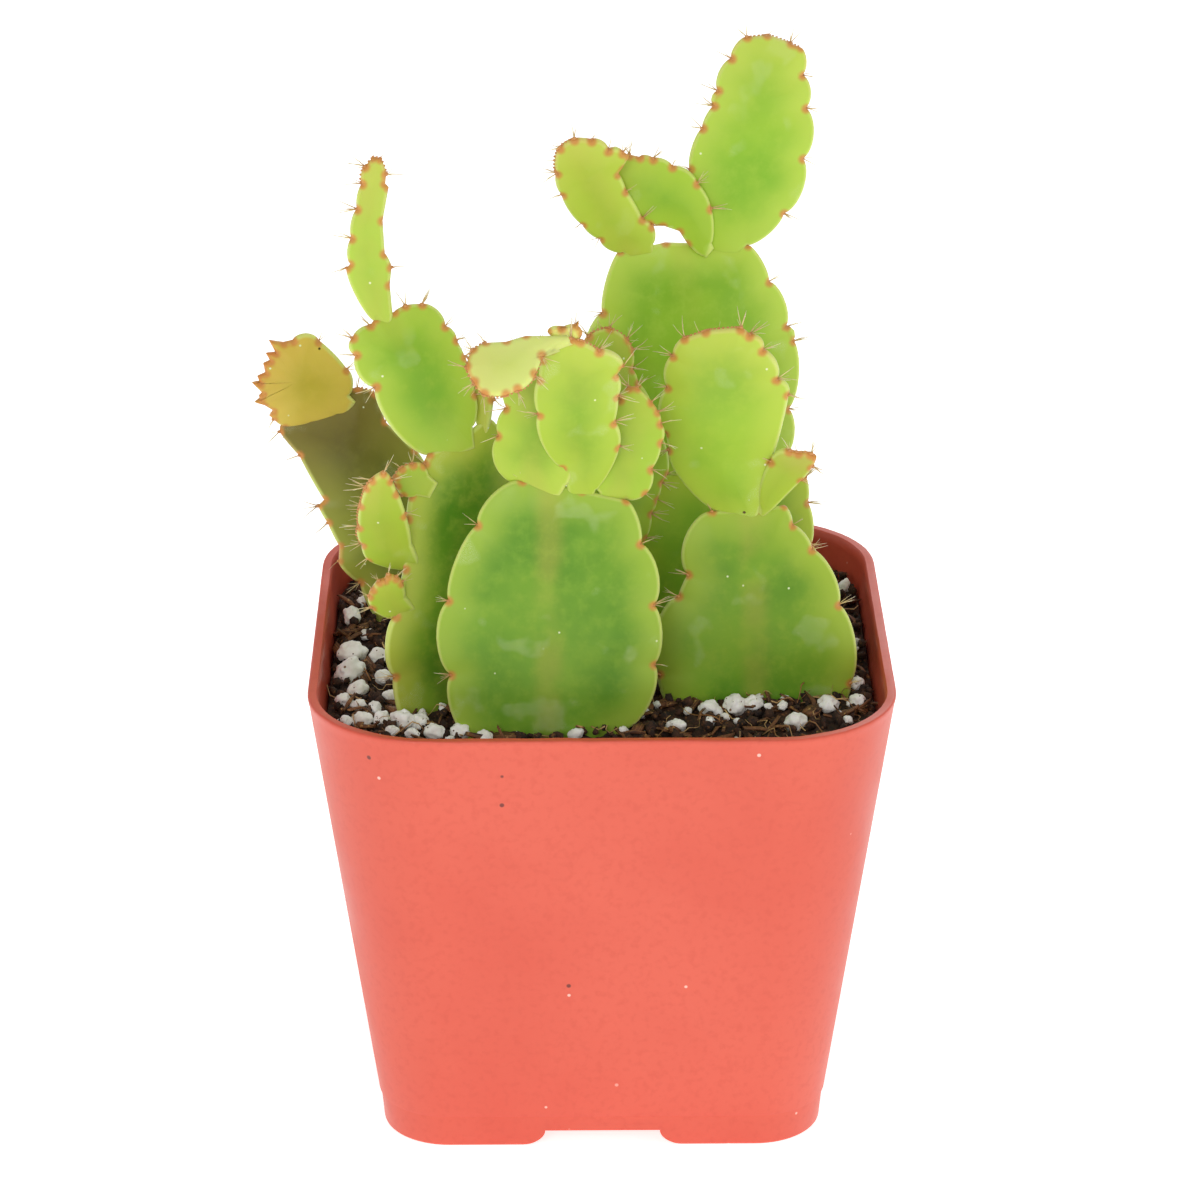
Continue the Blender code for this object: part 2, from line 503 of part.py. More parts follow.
def inside_pot(x, y, room):
    width, corner = pot_square(SOIL_TOP, WALL + GAP + room)
    reach = width / 2 - corner
    over_x = max(abs(x) - reach, 0)
    over_y = max(abs(y) - reach, 0)
    return math.hypot(over_x, over_y) < corner


def soil_height(x, y):
    return SOIL_TOP + SOIL_RELIEF * noise.noise(Vector((x, y, 0)) * 0.22)


def turned(draw):
    return Matrix.Rotation(draw.uniform(0, math.tau), 4, "Z") @ Matrix.Rotation(draw.uniform(-0.5, 0.5), 4, "X")


def make_grain(number, x, y, radius, draw):
    """One lump of perlite, about two thirds out of the mix."""
    bm = bmesh.new()
    bmesh.ops.create_icosphere(bm, subdivisions=1, radius=radius * MM)
    size = Matrix.Diagonal((draw.uniform(0.95, 1.2), draw.uniform(0.85, 1.0), draw.uniform(0.75, 0.95), 1))
    place = Matrix.Translation(scene_point(x, y, soil_height(x, y) + radius * 0.5 - GRAIN_SINK))
    bmesh.ops.transform(bm, matrix=place @ turned(draw) @ size, verts=bm.verts)
    return make_object("perlite_%d" % number, bm)


def make_chip(number, x, y, draw):
    """One chip of bark lying in the surface."""
    bm = bmesh.new()
    bmesh.ops.create_cube(bm, size=MM)
    size = Matrix.Diagonal((draw.uniform(3.0, 5.0), draw.uniform(1.2, 2.0), draw.uniform(1.2, 1.6), 1))
    place = Matrix.Translation(scene_point(x, y, soil_height(x, y) + 0.1))
    bmesh.ops.transform(bm, matrix=place @ turned(draw) @ size, verts=bm.verts)
    return make_object("bark_%d" % number, bm)


def make_potting_mix():
    """The mix fills the pot to just under its rim, with plain holes where the stems stand."""
    draw = random.Random(7)
    bm = bmesh.new()
    width, corner = pot_square(SOIL_TOP, WALL + GAP)
    rings = [round_square(*pot_square(SOIL_BOTTOM, WALL + GAP), SOIL_BOTTOM)]
    for part in reversed(SOIL_RINGS):
        rings.append(round_square(width * part, corner * part, 0))
        for point in rings[-1]:
            point.z = soil_height(point.x / MM - POT_X, point.y / MM) * MM
    loft(bm, rings)
    bmesh.ops.triangulate(bm, faces=bm.faces)
    pieces = [make_object("mix", bm)]

    grains = [grain for grain in PERLITE if clear_of_pads(*grain)]
    wanted = len(grains) + SCATTERED_PERLITE
    while len(grains) < wanted:
        x, y = draw.uniform(-27, 27), draw.uniform(-27, 27)
        radius = draw.uniform(0.7, 1.4)
        apart = all(math.hypot(x - a, y - b) > radius + c + 0.3 for a, b, c in grains)
        if apart and inside_pot(x, y, radius + 0.2) and clear_of_pads(x, y, radius + 0.2):
            grains.append((x, y, radius))
    for number, (x, y, radius) in enumerate(grains, 1):
        pieces.append(make_grain(number, x, y, radius, draw))
    chips = 0
    while chips < BARK_CHIPS:
        x, y = draw.uniform(-26, 26), draw.uniform(-26, 26)
        if inside_pot(x, y, 2.9) and clear_of_pads(x, y, 2.9):
            chips += 1
            pieces.append(make_chip(chips, x, y, draw))
    mix = unite("potting_mix", pieces)
    for pad in PADS:
        if not pad.parent:
            cut(mix, make_cutter(pad.name + "_hole", pad_mesh(pad, GAP)))
    paint(mix, (0.05, 0.028, 0.016), 0.9)
    return mix


def main():
    for obj in list(bpy.data.objects):
        bpy.data.objects.remove(obj)
    make_pot()
    make_potting_mix()
    make_stem("stem_front", (0.28, 0.47, 0.09), 11)
    make_stem("stem_middle", (0.32, 0.50, 0.10), 12)
    make_stem("stem_right", (0.30, 0.50, 0.09), 13)
    make_stem("stem_tall", (0.34, 0.54, 0.11), 14)
    make_stem("stem_left", (0.30, 0.50, 0.09), 15)
    make_stem("stem_far_left", (0.40, 0.36, 0.10), 16)


main()
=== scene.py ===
import json
import math
import random
from collections import namedtuple

import bmesh
import bpy
import numpy
from mathutils import Matrix, Vector, noise

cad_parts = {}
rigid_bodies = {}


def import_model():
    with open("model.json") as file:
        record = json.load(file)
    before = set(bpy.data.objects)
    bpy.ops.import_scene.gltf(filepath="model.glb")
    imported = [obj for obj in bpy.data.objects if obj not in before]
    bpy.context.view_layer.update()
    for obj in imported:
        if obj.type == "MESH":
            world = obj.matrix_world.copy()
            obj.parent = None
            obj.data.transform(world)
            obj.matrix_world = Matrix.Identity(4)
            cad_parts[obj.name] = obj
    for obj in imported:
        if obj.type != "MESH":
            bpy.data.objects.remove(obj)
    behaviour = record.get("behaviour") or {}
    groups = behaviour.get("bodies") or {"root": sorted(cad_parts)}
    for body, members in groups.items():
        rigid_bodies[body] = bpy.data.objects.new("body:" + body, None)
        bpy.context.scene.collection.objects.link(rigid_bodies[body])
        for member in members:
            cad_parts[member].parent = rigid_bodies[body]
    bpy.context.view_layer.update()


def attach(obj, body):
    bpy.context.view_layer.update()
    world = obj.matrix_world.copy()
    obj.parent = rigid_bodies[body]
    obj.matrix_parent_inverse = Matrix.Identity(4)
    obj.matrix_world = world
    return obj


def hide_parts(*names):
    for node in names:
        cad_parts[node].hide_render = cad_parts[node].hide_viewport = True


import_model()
scene = bpy.context.scene

# Camera
# A long lens stands half a metre in front of the plant and looks down on it a little, so the
# pads face the lens and the mix shows over the pot's front rim. Sizes are in millimetres from
# the middle of the pot's foot, and MM turns them into metres.
MM = 0.001
POT_X = 3.54
LENS = 137.63
CAMERA_DISTANCE = 482.48
CAMERA_RISE = math.radians(22.607)
CAMERA_SWING = math.radians(-0.594)
AIM = (-0.024, 0.0, 52.411)


def scene_point(x, y, z):
    """A place measured from the middle of the pot's foot, in metres."""
    return Vector((x + POT_X, y, z)) * MM


camera = bpy.data.objects.new("camera", bpy.data.cameras.new("camera"))
scene.collection.objects.link(camera)
camera.data.lens = LENS
camera.data.sensor_width = 36.0
camera.data.clip_start = 0.01
camera.data.clip_end = 20.0
back = Vector((
    math.sin(CAMERA_SWING) * math.cos(CAMERA_RISE),
    -math.cos(CAMERA_SWING) * math.cos(CAMERA_RISE),
    math.sin(CAMERA_RISE)))
camera.location = scene_point(*AIM) + back * CAMERA_DISTANCE * MM
camera.rotation_euler = back.to_track_quat("Z", "Y").to_euler()
scene.camera = camera

# Floor and light
# A white table in a bright tent. Light comes from all round, more of it from a large soft box
# in front and above on the left, and some from behind, which makes the thin edges glow.
FLOOR_REACH = 2.5
TENT = 0.54


def add_node(tree, kind, inputs=None, **settings):
    """Adds a node; an input is given a value or the socket that feeds it."""
    node = tree.nodes.new(kind)
    for name, value in settings.items():
        setattr(node, name, value)
    for name, value in (inputs or {}).items():
        if isinstance(value, bpy.types.NodeSocket):
            tree.links.new(value, node.inputs[name])
        else:
            node.inputs[name].default_value = value
    return node


def new_material(name):
    """An empty material, its node tree and its shader."""
    material = bpy.data.materials.new(name)
    material.use_nodes = True
    tree = material.node_tree
    return material, tree, tree.nodes["Principled BSDF"]


def new_piece(name, bm, material):
    """Turns the bmesh into a smooth object with this material."""
    mesh = bpy.data.meshes.new(name)
    bm.to_mesh(mesh)
    bm.free()
    mesh.materials.append(material)
    mesh.shade_smooth()
    piece = bpy.data.objects.new(name, mesh)
    scene.collection.objects.link(piece)
    return piece


def soft_box(name, place, target, width, power):
    light = bpy.data.lights.new(name, "AREA")
    light.shape = "DISK"
    light.size = width
    light.energy = power
    lamp = bpy.data.objects.new(name, light)
    scene.collection.objects.link(lamp)
    lamp.location = place
    lamp.rotation_euler = (Vector(place) - Vector(target)).to_track_quat("Z", "Y").to_euler()


floor_material, _, floor_shader = new_material("white_table")
floor_shader.inputs["Base Color"].default_value = (0.93, 0.93, 0.93, 1)
floor_shader.inputs["Roughness"].default_value = 0.9
floor_shader.inputs["Specular IOR Level"].default_value = 0.1
floor_shader.inputs["Emission Color"].default_value = (1, 1, 1, 1)
floor_shader.inputs["Emission Strength"].default_value = 0.7
bm = bmesh.new()
bmesh.ops.create_grid(bm, x_segments=1, y_segments=1, size=FLOOR_REACH)
floor = new_piece("floor", bm, floor_material)

world = bpy.data.worlds.new("tent")
world.use_nodes = True
world.node_tree.nodes["Background"].inputs["Color"].default_value = (1, 1, 1, 1)
world.node_tree.nodes["Background"].inputs["Strength"].default_value = TENT
scene.world = world
scene.view_settings.view_transform = "Standard"
soft_box("key", (-0.25, -0.95, 0.55), (0, 0, 0.05), 0.5, 2.9)
soft_box("fill", (0.8, -0.45, 0.3), (0, 0, 0.05), 0.5, 1.0)
soft_box("back", (0.25, 0.8, 0.6), (0, 0, 0.07), 0.6, 1.8)

# Pot
# A square nursery pot with round corners, injection moulded in coral plastic under a
# millimetre thick. The rim is a plain edge a little uneven from the mould, a step runs round
# the foot, and each side of the foot has a gap that lets water out.
POT_TOP = 60.0
POT_BOTTOM = 46.0
POT_HEIGHT = 49.7
TOP_CORNER = 12.8
BOTTOM_CORNER = 7.0
WALL = 0.9
RIM = 1.0
RIM_DEPTH = 1.2
RIM_ROUND = 0.3
RIM_BEAD = 0.05
RIM_WAVE = 0.09
STEP_HEIGHT = 3.7
STEP_DEPTH = 0.15
SKIRT = 1.3
FLOOR_UNDER = 2.1
FLOOR = 1.0
FOOT_GAP = (6.0, 9.2, 1.9)
FOOT_ROUND = 0.35
DRAINS = [(0.0, 0.0, 3.5), (11.0, 11.0, 2.5), (-11.0, 11.0, 2.5), (-11.0, -11.0, 2.5), (11.0, -11.0, 2.5)]
CORNER_STEPS = 16
SIDE_STEPS = 28


def srgb(red, green, blue):
    """A colour given in the usual 0 to 255 steps, as the shader needs it."""
    parts = []
    for value in (red, green, blue):
        value /= 255
        parts.append(value / 12.92 if value < 0.04045 else ((value + 0.055) / 1.055) ** 2.4)
    return (*parts, 1.0)


def mixed(tree, factor, first, second):
    """Mixes two colours and returns the socket."""
    node = add_node(tree, "ShaderNodeMix", data_type="RGBA")
    for index, value in ((0, factor), (6, first), (7, second)):
        if isinstance(value, bpy.types.NodeSocket):
            tree.links.new(value, node.inputs[index])
        else:
            node.inputs[index].default_value = value
    return node.outputs[2]


def ramp(tree, value, low, high, least=0.0, most=1.0):
    """Goes smoothly from least to most as the value goes from low to high."""
    node = add_node(tree, "ShaderNodeMapRange", {
        "Value": value, "From Min": low, "From Max": high, "To Min": least, "To Max": most,
    }, interpolation_type="SMOOTHSTEP")
    return node.outputs["Result"]


def product(tree, first, second):
    node = add_node(tree, "ShaderNodeMath", {0: first, 1: second}, operation="MULTIPLY")
    return node.outputs[0]


def grain(tree, place, scale, detail=3.0, roughness=0.55, distortion=0.0):
    """Cloudy noise with this many bumps to the metre."""
    node = add_node(tree, "ShaderNodeTexNoise", {
        "Vector": place, "Scale": scale, "Detail": detail, "Roughness": roughness,
        "Distortion": distortion})
    return node.outputs["Fac"]


def specks(tree, place, scale, share, size):
    """Small round dots: this share of the cells has one, its radius a part of the cell."""
    cells = add_node(tree, "ShaderNodeTexVoronoi", {"Vector": place, "Scale": scale})
    near = ramp(tree, cells.outputs["Distance"], size * 0.6, size, 1.0, 0.0)
    pick = add_node(tree, "ShaderNodeSeparateColor", {"Color": cells.outputs["Color"]})
    chosen = ramp(tree, pick.outputs["Red"], share * 0.95, share, 1.0, 0.0)
    return product(tree, near, chosen)


def object_place(tree, shift=(0, 0, 0)):
    place = add_node(tree, "ShaderNodeTexCoord").outputs["Object"]
    return add_node(tree, "ShaderNodeMapping", {"Vector": place, "Location": shift}).outputs["Vector"]


def painted_on(tree, name):
    """A number that the piece's mesh carries at each point."""
    return add_node(tree, "ShaderNodeAttribute", attribute_name=name).outputs["Fac"]


def bumped(tree, shader, *layers):
    """Adds up bumps: each layer is a height, its strength and its depth in millimetres."""
    normal = None
    for height, strength, depth in layers:
        node = add_node(tree, "ShaderNodeBump", {
            "Height": height, "Strength": strength, "Distance": depth * MM})
        if normal:
            tree.links.new(normal, node.inputs["Normal"])
        normal = node.outputs["Normal"]
    tree.links.new(normal, shader.inputs["Normal"])


def woven(columns, rows, place):
    """A sheet of columns by rows of points, each put where place(column, row) says."""
    bm = bmesh.new()
    bmesh.ops.create_grid(bm, x_segments=columns - 1, y_segments=rows - 1, size=1)
    for vert in bm.verts:
        column = round((vert.co.x + 1) / 2 * (columns - 1))
        row = round((vert.co.y + 1) / 2 * (rows - 1))
        vert.co = place(column, row)
    return bm


def round_square(width, corner):
    """A square with round corners, anticlockwise from above, ending where it starts."""
    reach = width / 2 - corner
    points = []
    for quarter in range(4):
        side_x = 1 if quarter in (0, 3) else -1
        side_y = 1 if quarter in (0, 1) else -1
        for step in range(CORNER_STEPS + 1):
            angle = math.radians(90 * (quarter + step / CORNER_STEPS))
            x = side_x * reach + corner * math.cos(angle)
            y = side_y * reach + corner * math.sin(angle)
            points.append(Vector((x, y)))
        along = Vector((0, 2 * reach)) if quarter % 2 else Vector((2 * reach, 0))
        along = along if quarter > 1 else -along
        corner_end = points[-1]
        for step in range(1, SIDE_STEPS):
            points.append(corner_end + along * step / SIDE_STEPS)
    return points + points[:1]


def pot_square(height, inset=0.0):
    """The pot's width and corner radius at a height, moved in by the inset."""
    part = height / POT_HEIGHT
    width = POT_BOTTOM + (POT_TOP - POT_BOTTOM) * part - 2 * inset
    corner = BOTTOM_CORNER + (TOP_CORNER - BOTTOM_CORNER) * part - inset
    return width, corner


def pot_profile():
    """Height, inset and how much of the rim's unevenness shows, from under the floor inwards."""
    rows = [(FLOOR_UNDER, SKIRT, 0), (0.3, SKIRT, 0), (0.08, SKIRT - 0.1, 0), (0.0, SKIRT - 0.3, 0)]
    for step in range(6):
        angle = math.radians(90 * step / 5)
        rows.append((FOOT_ROUND * (1 - math.cos(angle)), FOOT_ROUND * (1 - math.sin(angle)), 0))
    rows += [
        (STEP_HEIGHT - 0.3, STEP_DEPTH, 0), (STEP_HEIGHT - 0.02, STEP_DEPTH, 0),
        (STEP_HEIGHT + 0.04, 0.03, 0), (STEP_HEIGHT + 0.2, 0, 0)]
    rows += [(height, 0, 0) for height in (12.0, 20.0, 28.0, 36.0, 43.0, 46.5)]
    rows += [(POT_HEIGHT - 1.3, 0, 0.2), (POT_HEIGHT - 0.75, 0, 0.6), (POT_HEIGHT - 0.5, -RIM_BEAD, 0.9)]
    for step in range(1, 6):
        angle = math.radians(90 * step / 5)
        rows.append((
            POT_HEIGHT - RIM_ROUND * (1 - math.sin(angle)),
            RIM_ROUND * (1 - math.cos(angle)) - RIM_BEAD, 1))
    rows += [
        (POT_HEIGHT - 0.03, RIM * 0.6, 0.8), (POT_HEIGHT - 0.04, RIM - 0.12, 0.6),
        (POT_HEIGHT - 0.2, RIM, 0.4), (POT_HEIGHT - RIM_DEPTH, RIM, 0),
        (POT_HEIGHT - RIM_DEPTH - 0.3, WALL, 0), (38.0, WALL, 0), (20.0, WALL, 0),
        (FLOOR_UNDER + FLOOR, WALL, 0)]
    return rows


def pot_shell():
    """The profile's rings, one above the other, closed underneath and inside by the floor."""
    rows = pot_profile()
    rings = [round_square(*pot_square(height, inset)) for height, inset, _ in rows]

    def place(column, row):
        point = rings[row][column]
        height, _, uneven = rows[row]
        wave = noise.noise(Vector((point.x * 0.35, point.y * 0.35, 3.0)))
        nick = noise.noise(Vector((point.x * 1.3, point.y * 1.3, 9.0)))
        return scene_point(point.x, point.y, height + uneven * RIM_WAVE * (wave + 0.6 * nick))

    bm = woven(len(rings[0]), len(rows), place)
    bmesh.ops.remove_doubles(bm, verts=bm.verts, dist=1e-6)
    bmesh.ops.holes_fill(bm, edges=[edge for edge in bm.edges if edge.is_boundary])
    bmesh.ops.recalc_face_normals(bm, faces=bm.faces)
    return bm


def carve(piece, cutter):
    """Cuts the cutter out of the piece and removes the cutter."""
    boolean = piece.modifiers.new("carve", "BOOLEAN")
    boolean.operation = "DIFFERENCE"
    boolean.object = cutter
    carved = bpy.data.meshes.new_from_object(piece.evaluated_get(bpy.context.evaluated_depsgraph_get()))
    piece.modifiers.clear()
    piece.data = carved
    bpy.data.objects.remove(cutter)


def foot_gap_cutter(name, turn):
    """A long bar with the outline of the gap: flat above, curving out to the feet's ends."""
    narrow, wide, height = FOOT_GAP
    outline = [(wide, -1.0)]
    for step in range(13):
        angle = math.radians(90 * step / 12)
        outline.append((wide - (wide - narrow) * math.sin(angle), height * (1 - math.cos(angle))))
    outline += [(-across, rise) for across, rise in reversed(outline)]
    bm = bmesh.new()
    face = bm.faces.new([
        bm.verts.new(Vector((across, -POT_BOTTOM, rise)) * MM) for across, rise in outline])
    moved = bmesh.ops.extrude_face_region(bm, geom=[face])["geom"]
    verts = [item for item in moved if isinstance(item, bmesh.types.BMVert)]
    bmesh.ops.translate(bm, verts=verts, vec=Vector((0, 2 * POT_BOTTOM, 0)) * MM)
    bmesh.ops.rotate(bm, verts=bm.verts, matrix=Matrix.Rotation(turn, 3, "Z"))
    bmesh.ops.translate(bm, verts=bm.verts, vec=scene_point(0, 0, 0))
    bmesh.ops.recalc_face_normals(bm, faces=bm.faces)
    return new_piece(name, bm, pot_material)


def coral_plastic():
    """Matt coral plastic with dust and fine specks."""
    material, tree, shader = new_material("coral_plastic")
    place = object_place(tree)
    cloud = grain(tree, place, 45, 4)
    fine = grain(tree, place, 1300, 2)
    colour = mixed(tree, ramp(tree, cloud, 0.3, 0.7), srgb(212, 84, 62), srgb(218, 94, 72))
    colour = mixed(tree, ramp(tree, fine, 0.45, 0.75, 0, 0.35), colour, srgb(202, 76, 56))
    colour = mixed(tree, specks(tree, place, 420, 0.10, 0.10), colour, srgb(248, 190, 175))
    colour = mixed(tree, specks(tree, place, 300, 0.04, 0.09), colour, srgb(120, 50, 40))
    tree.links.new(colour, shader.inputs["Base Color"])
    tree.links.new(ramp(tree, grain(tree, place, 90, 5), 0.3, 0.7, 0.36, 0.5), shader.inputs["Roughness"])
    shader.inputs["Subsurface Weight"].default_value = 0.08
    shader.inputs["Subsurface Radius"].default_value = (1.0, 0.4, 0.25)
    shader.inputs["Subsurface Scale"].default_value = 0.6 * MM
    bumped(tree, shader, (cloud, 0.25, 0.5), (fine, 0.12, 0.05))
    return material


pot_material = coral_plastic()
pot = new_piece("square_pot", pot_shell(), pot_material)
carve(pot, foot_gap_cutter("gap_front_back", 0.0))
carve(pot, foot_gap_cutter("gap_left_right", math.radians(90)))
for x, y, radius in DRAINS:
    bm = bmesh.new()
    bmesh.ops.create_cone(
        bm, cap_ends=True, segments=48, radius1=radius * MM, radius2=radius * MM, depth=3 * FLOOR * MM,
        matrix=Matrix.Translation(scene_point(x, y, FLOOR_UNDER + FLOOR / 2)))
    carve(pot, new_piece("drain", bm, pot_material))
pot.data.shade_smooth()
pot.data.set_sharp_from_angle(angle=math.radians(40))
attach(pot, "root")
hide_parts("pot")

# Front stem
# The nearest stem: one broad fleshy pad standing in the mix, three smaller pads on its top
# edge, and at the tip of the middle one a thin new pad bent over to the left. Each pad grew
# from the one below it, has a round, paler edge, and bears wool and bristles in its notches.
ROOT_DEPTH = 1.6
EDGE_ROUND = 0.52
MIDDLE_HALF = 1.3
SIDE_POINTS = 72
WAVE_HEIGHT = 0.3
SCRATCH_WANDER = 1.6
BRISTLE_SPREAD = 26
BRISTLE_LENGTH = 2.1
FRINGE_SPACING = 0.3
FRINGE_SHARE = 0.2
FRINGE_LENGTH = 1.5
EDGE_RINGS = (0.06, 0.16, 0.3, 0.5, 0.8)
INNER_RINGS = (0.1, 0.22, 0.36, 0.52, 0.68, 0.84, 1.0)
# What each point of a pad carries: its distance in from the edge, its share of the pad's
# length, its height along the pad, its distance from the middle line and from a notch.
PAD_MEASURES = ("inward", "reach", "rise", "sideways", "notched")

# A pad's root is x, y, z for a pad that stands in the mix, and otherwise across, along and
# out of the face of the pad that it grows from. It leans right, tilts back and turns its
# right edge back, in degrees, and bends back by its arch. Its edge runs from the root up
# the left side, over the tip and down the right, as read off the photograph in millimetres:
# each row is a bristly notch, across and along, and how far the round lobe before it swells.
# A row that swells 0 ends a straight stretch, and is bare.
Pad = namedtuple("Pad", "name parent root lean tilt turn arch edge")
Pose = namedtuple("Pose", "origin across along facing length arch")
# A pad's colours inside, in its darker clouds and near its edge, how plain its pale streak and
# its scuffs are, a darker place (across, along, radius) that is partly the pad's own blotch and
# partly painted shade, how much of its tip is young and its colour there, and the colour there
# of the rim band, which is partly a painted highlight.
Skin = namedtuple("Skin", "flesh deep light streak scuff dark young tip tip_rim", defaults=(
    0.2, 0.3, (0, 0, 1), 0.0, (200, 200, 90), (226, 170, 96)))
pads = {}


def on_pad(pose, across, along, out=0.0):
    """The point at this place on the bent pad, and this far out of its face."""
    if pose.arch:
        radius = pose.length / pose.arch
        angle = along / radius
        rise = (radius + out) * math.sin(angle)
        depth = (radius + out) * math.cos(angle) - radius
    else:
        rise, depth = along, out
    return pose.origin + pose.across * across + pose.along * rise + pose.facing * depth


def pad_pose(pad):
    """Where the pad's root is and which way the pad runs and faces, in millimetres."""
    lean, tilt, turn = (math.radians(angle) for angle in (pad.lean, pad.tilt, pad.turn))
    along = Vector((math.sin(lean) * math.cos(tilt), math.sin(tilt), math.cos(lean) * math.cos(tilt)))
    facing = Vector((0, -1, 0))
    facing = (facing - along * facing.dot(along)).normalized()
    across = along.cross(facing)
    across, facing = (
        across * math.cos(turn) - facing * math.sin(turn),
        facing * math.cos(turn) + across * math.sin(turn))
    origin = on_pad(pad_pose(pads[pad.parent]), *pad.root) if pad.parent else Vector(pad.root)
    length = max(row[1] for row in pad.edge)
    return Pose(origin, across, along, facing, length, math.radians(pad.arch))


def lobe(start, end, swell, steps):
    """The points after start up to end along one round lobe of the edge."""
    chord = end - start
    outward = Vector((-chord.y, chord.x)).normalized()
    points = []
    for step in range(1, steps + 1):
        part = step / steps
        part -= 0.09 * math.sin(part * math.tau)
        height = swell * (4 * part * (1 - part)) ** 0.62 if step < steps else 0
        points.append(start + chord * part + outward * height)
    return points


def side_of_edge(rows, count):
    """One side of the edge in this many steps, more of them where the lobes are longer."""
    spans = []
    for (across, along, _), (next_across, next_along, swell) in zip(rows, rows[1:]):
        start, end = Vector((across, along)), Vector((next_across, next_along))
        spans.append([start, end, swell, (end - start).length + abs(swell), 1])
    for _ in range(count - len(spans)):
        longest = max(spans, key=lambda span: span[3] / span[4])
        longest[4] += 1
    points = [spans[0][0]]
    for start, end, swell, _, steps in spans:
        points.extend(lobe(start, end, swell, steps))
    return points


def edge_sides(pad):
    """The left and the right side of the edge, both from the root to the tip."""
    rows = list(pad.edge)
    if pad.parent:
        rows.insert(0, (rows[0][0] * 0.7, -ROOT_DEPTH, 0))
        rows.append((rows[-1][0] * 0.7, -ROOT_DEPTH, 0))
    tip = max(range(len(rows)), key=lambda index: rows[index][1])
    left = side_of_edge(rows[:tip + 1], SIDE_POINTS)
    right = side_of_edge(rows[tip:], SIDE_POINTS)
    return left, right[::-1]


def middle_line(left, right):
    """The ends of the pad's middle line, and the point on it between each pair of the sides."""
    edge = left + right
    length = max(point.y for point in edge)
    lower = [point.x for point in edge if point.y < length / 2]
    upper = [point.x for point in edge if point.y >= length / 2]
    width = max(lower + upper) - min(lower + upper)
    reach = min(width / 2, length * 0.45)
    low = Vector(((min(lower) + max(lower)) / 2, reach))
    high = Vector(((min(upper) + max(upper)) / 2, length - reach))
    line = high - low
    middles = []
    part = 0.0
    for first, second in zip(left, right):
        here = ((first + second) / 2 - low).dot(line) / line.length_squared
        part = max(part, min(here, 1.0))
        middles.append(low + line * part)
    return low, line.normalized(), middles


def distance_inside(points, edge):
    """How far each point is from the nearest stretch of the edge."""
    starts = numpy.array(edge[:-1])
    spans = numpy.array(edge[1:]) - starts
    lengths = (spans ** 2).sum(axis=1) + 1e-12
    found = []
    for point in numpy.array(points):
        part = numpy.clip(((point - starts) * spans).sum(axis=1) / lengths, 0, 1)
        gap = point - starts - spans * part[:, None]
        found.append(math.sqrt((gap ** 2).sum(axis=1).min()))
    return found


def half_thickness(inward, middle):
    """A round edge that swells gently towards the middle."""
    if inward < EDGE_ROUND:
        return math.sqrt(EDGE_ROUND ** 2 - (EDGE_ROUND - inward) ** 2)
    return EDGE_ROUND + (middle - EDGE_ROUND) * (1 - math.exp((EDGE_ROUND - inward) / 2.4))


def pad_mesh(pad):
    """Half a pad, ring inside ring from its edge to its middle line, mirrored and then bent."""
    pose = pad_pose(pad)
    left, right = edge_sides(pad)
    low, line, middles = middle_line(left, right)
    edge = left + right[-2::-1] + left[:1]
    centres = middles + middles[-2::-1] + middles[:1]
    parts = []
    for point, centre in zip(edge, centres):
        spoke = max((point - centre).length, 0.3)
        steps = [0.0] + [min(ring / spoke, 0.1 * number) for number, ring in enumerate(EDGE_RINGS, 1)]
        steps += [steps[-1] + (1 - steps[-1]) * ring for ring in INNER_RINGS]
        parts.append(steps)

    def flat_place(column, row):
        point = edge[column].lerp(centres[column], parts[column][row])
        return Vector((point.x, point.y, 0))

    bm = woven(len(edge), len(parts[0]), flat_place)
    bmesh.ops.remove_doubles(bm, verts=bm.verts, dist=1e-4)
    wide = max(point.x for point in edge) - min(point.x for point in edge)
    middle_half = min(MIDDLE_HALF, 0.55 + 0.05 * wide)
    notches = [Vector(row[:2]) for row in pad.edge[1:-1]]
    layers = [bm.verts.layers.float.new(name) for name in PAD_MEASURES]
    depths = distance_inside([vert.co.xy for vert in bm.verts], edge[:-1])
    for vert, depth in zip(bm.verts, depths):
        place = vert.co.xy
        sideways = (place - low).cross(line)
        near = min((place - notch).length for notch in notches)
        for layer, value in zip(layers, (depth, place.y / pose.length, place.y, sideways, near)):
            vert[layer] = value
        vert.co.z = half_thickness(depth, middle_half)
    bmesh.ops.mirror(bm, geom=bm.verts[:] + bm.edges[:] + bm.faces[:], merge_dist=1e-4, axis="Z")
    seed = sum(ord(letter) for letter in pad.name)
    for vert in bm.verts:
        x, y, out = vert.co
        wave = noise.noise(Vector((x * 0.16, y * 0.16, seed))) * min(1.0, max(0.0, y / 4))
        vert.co = scene_point(*on_pad(pose, x, y, out + WAVE_HEIGHT * wave))
    bmesh.ops.recalc_face_normals(bm, faces=bm.faces)
    return bm


def bent_place(tree, place):
    """The place shifted by up to 1.6 mm of noise, which makes the scratches wander."""
    wander = add_node(tree, "ShaderNodeTexNoise", {"Vector": place, "Scale": 420.0})
    node = add_node(tree, "ShaderNodeVectorMath", {
        0: place, 1: wander.outputs["Color"], 2: (SCRATCH_WANDER * MM,) * 3}, operation="MULTIPLY_ADD")
    return node.outputs["Vector"]


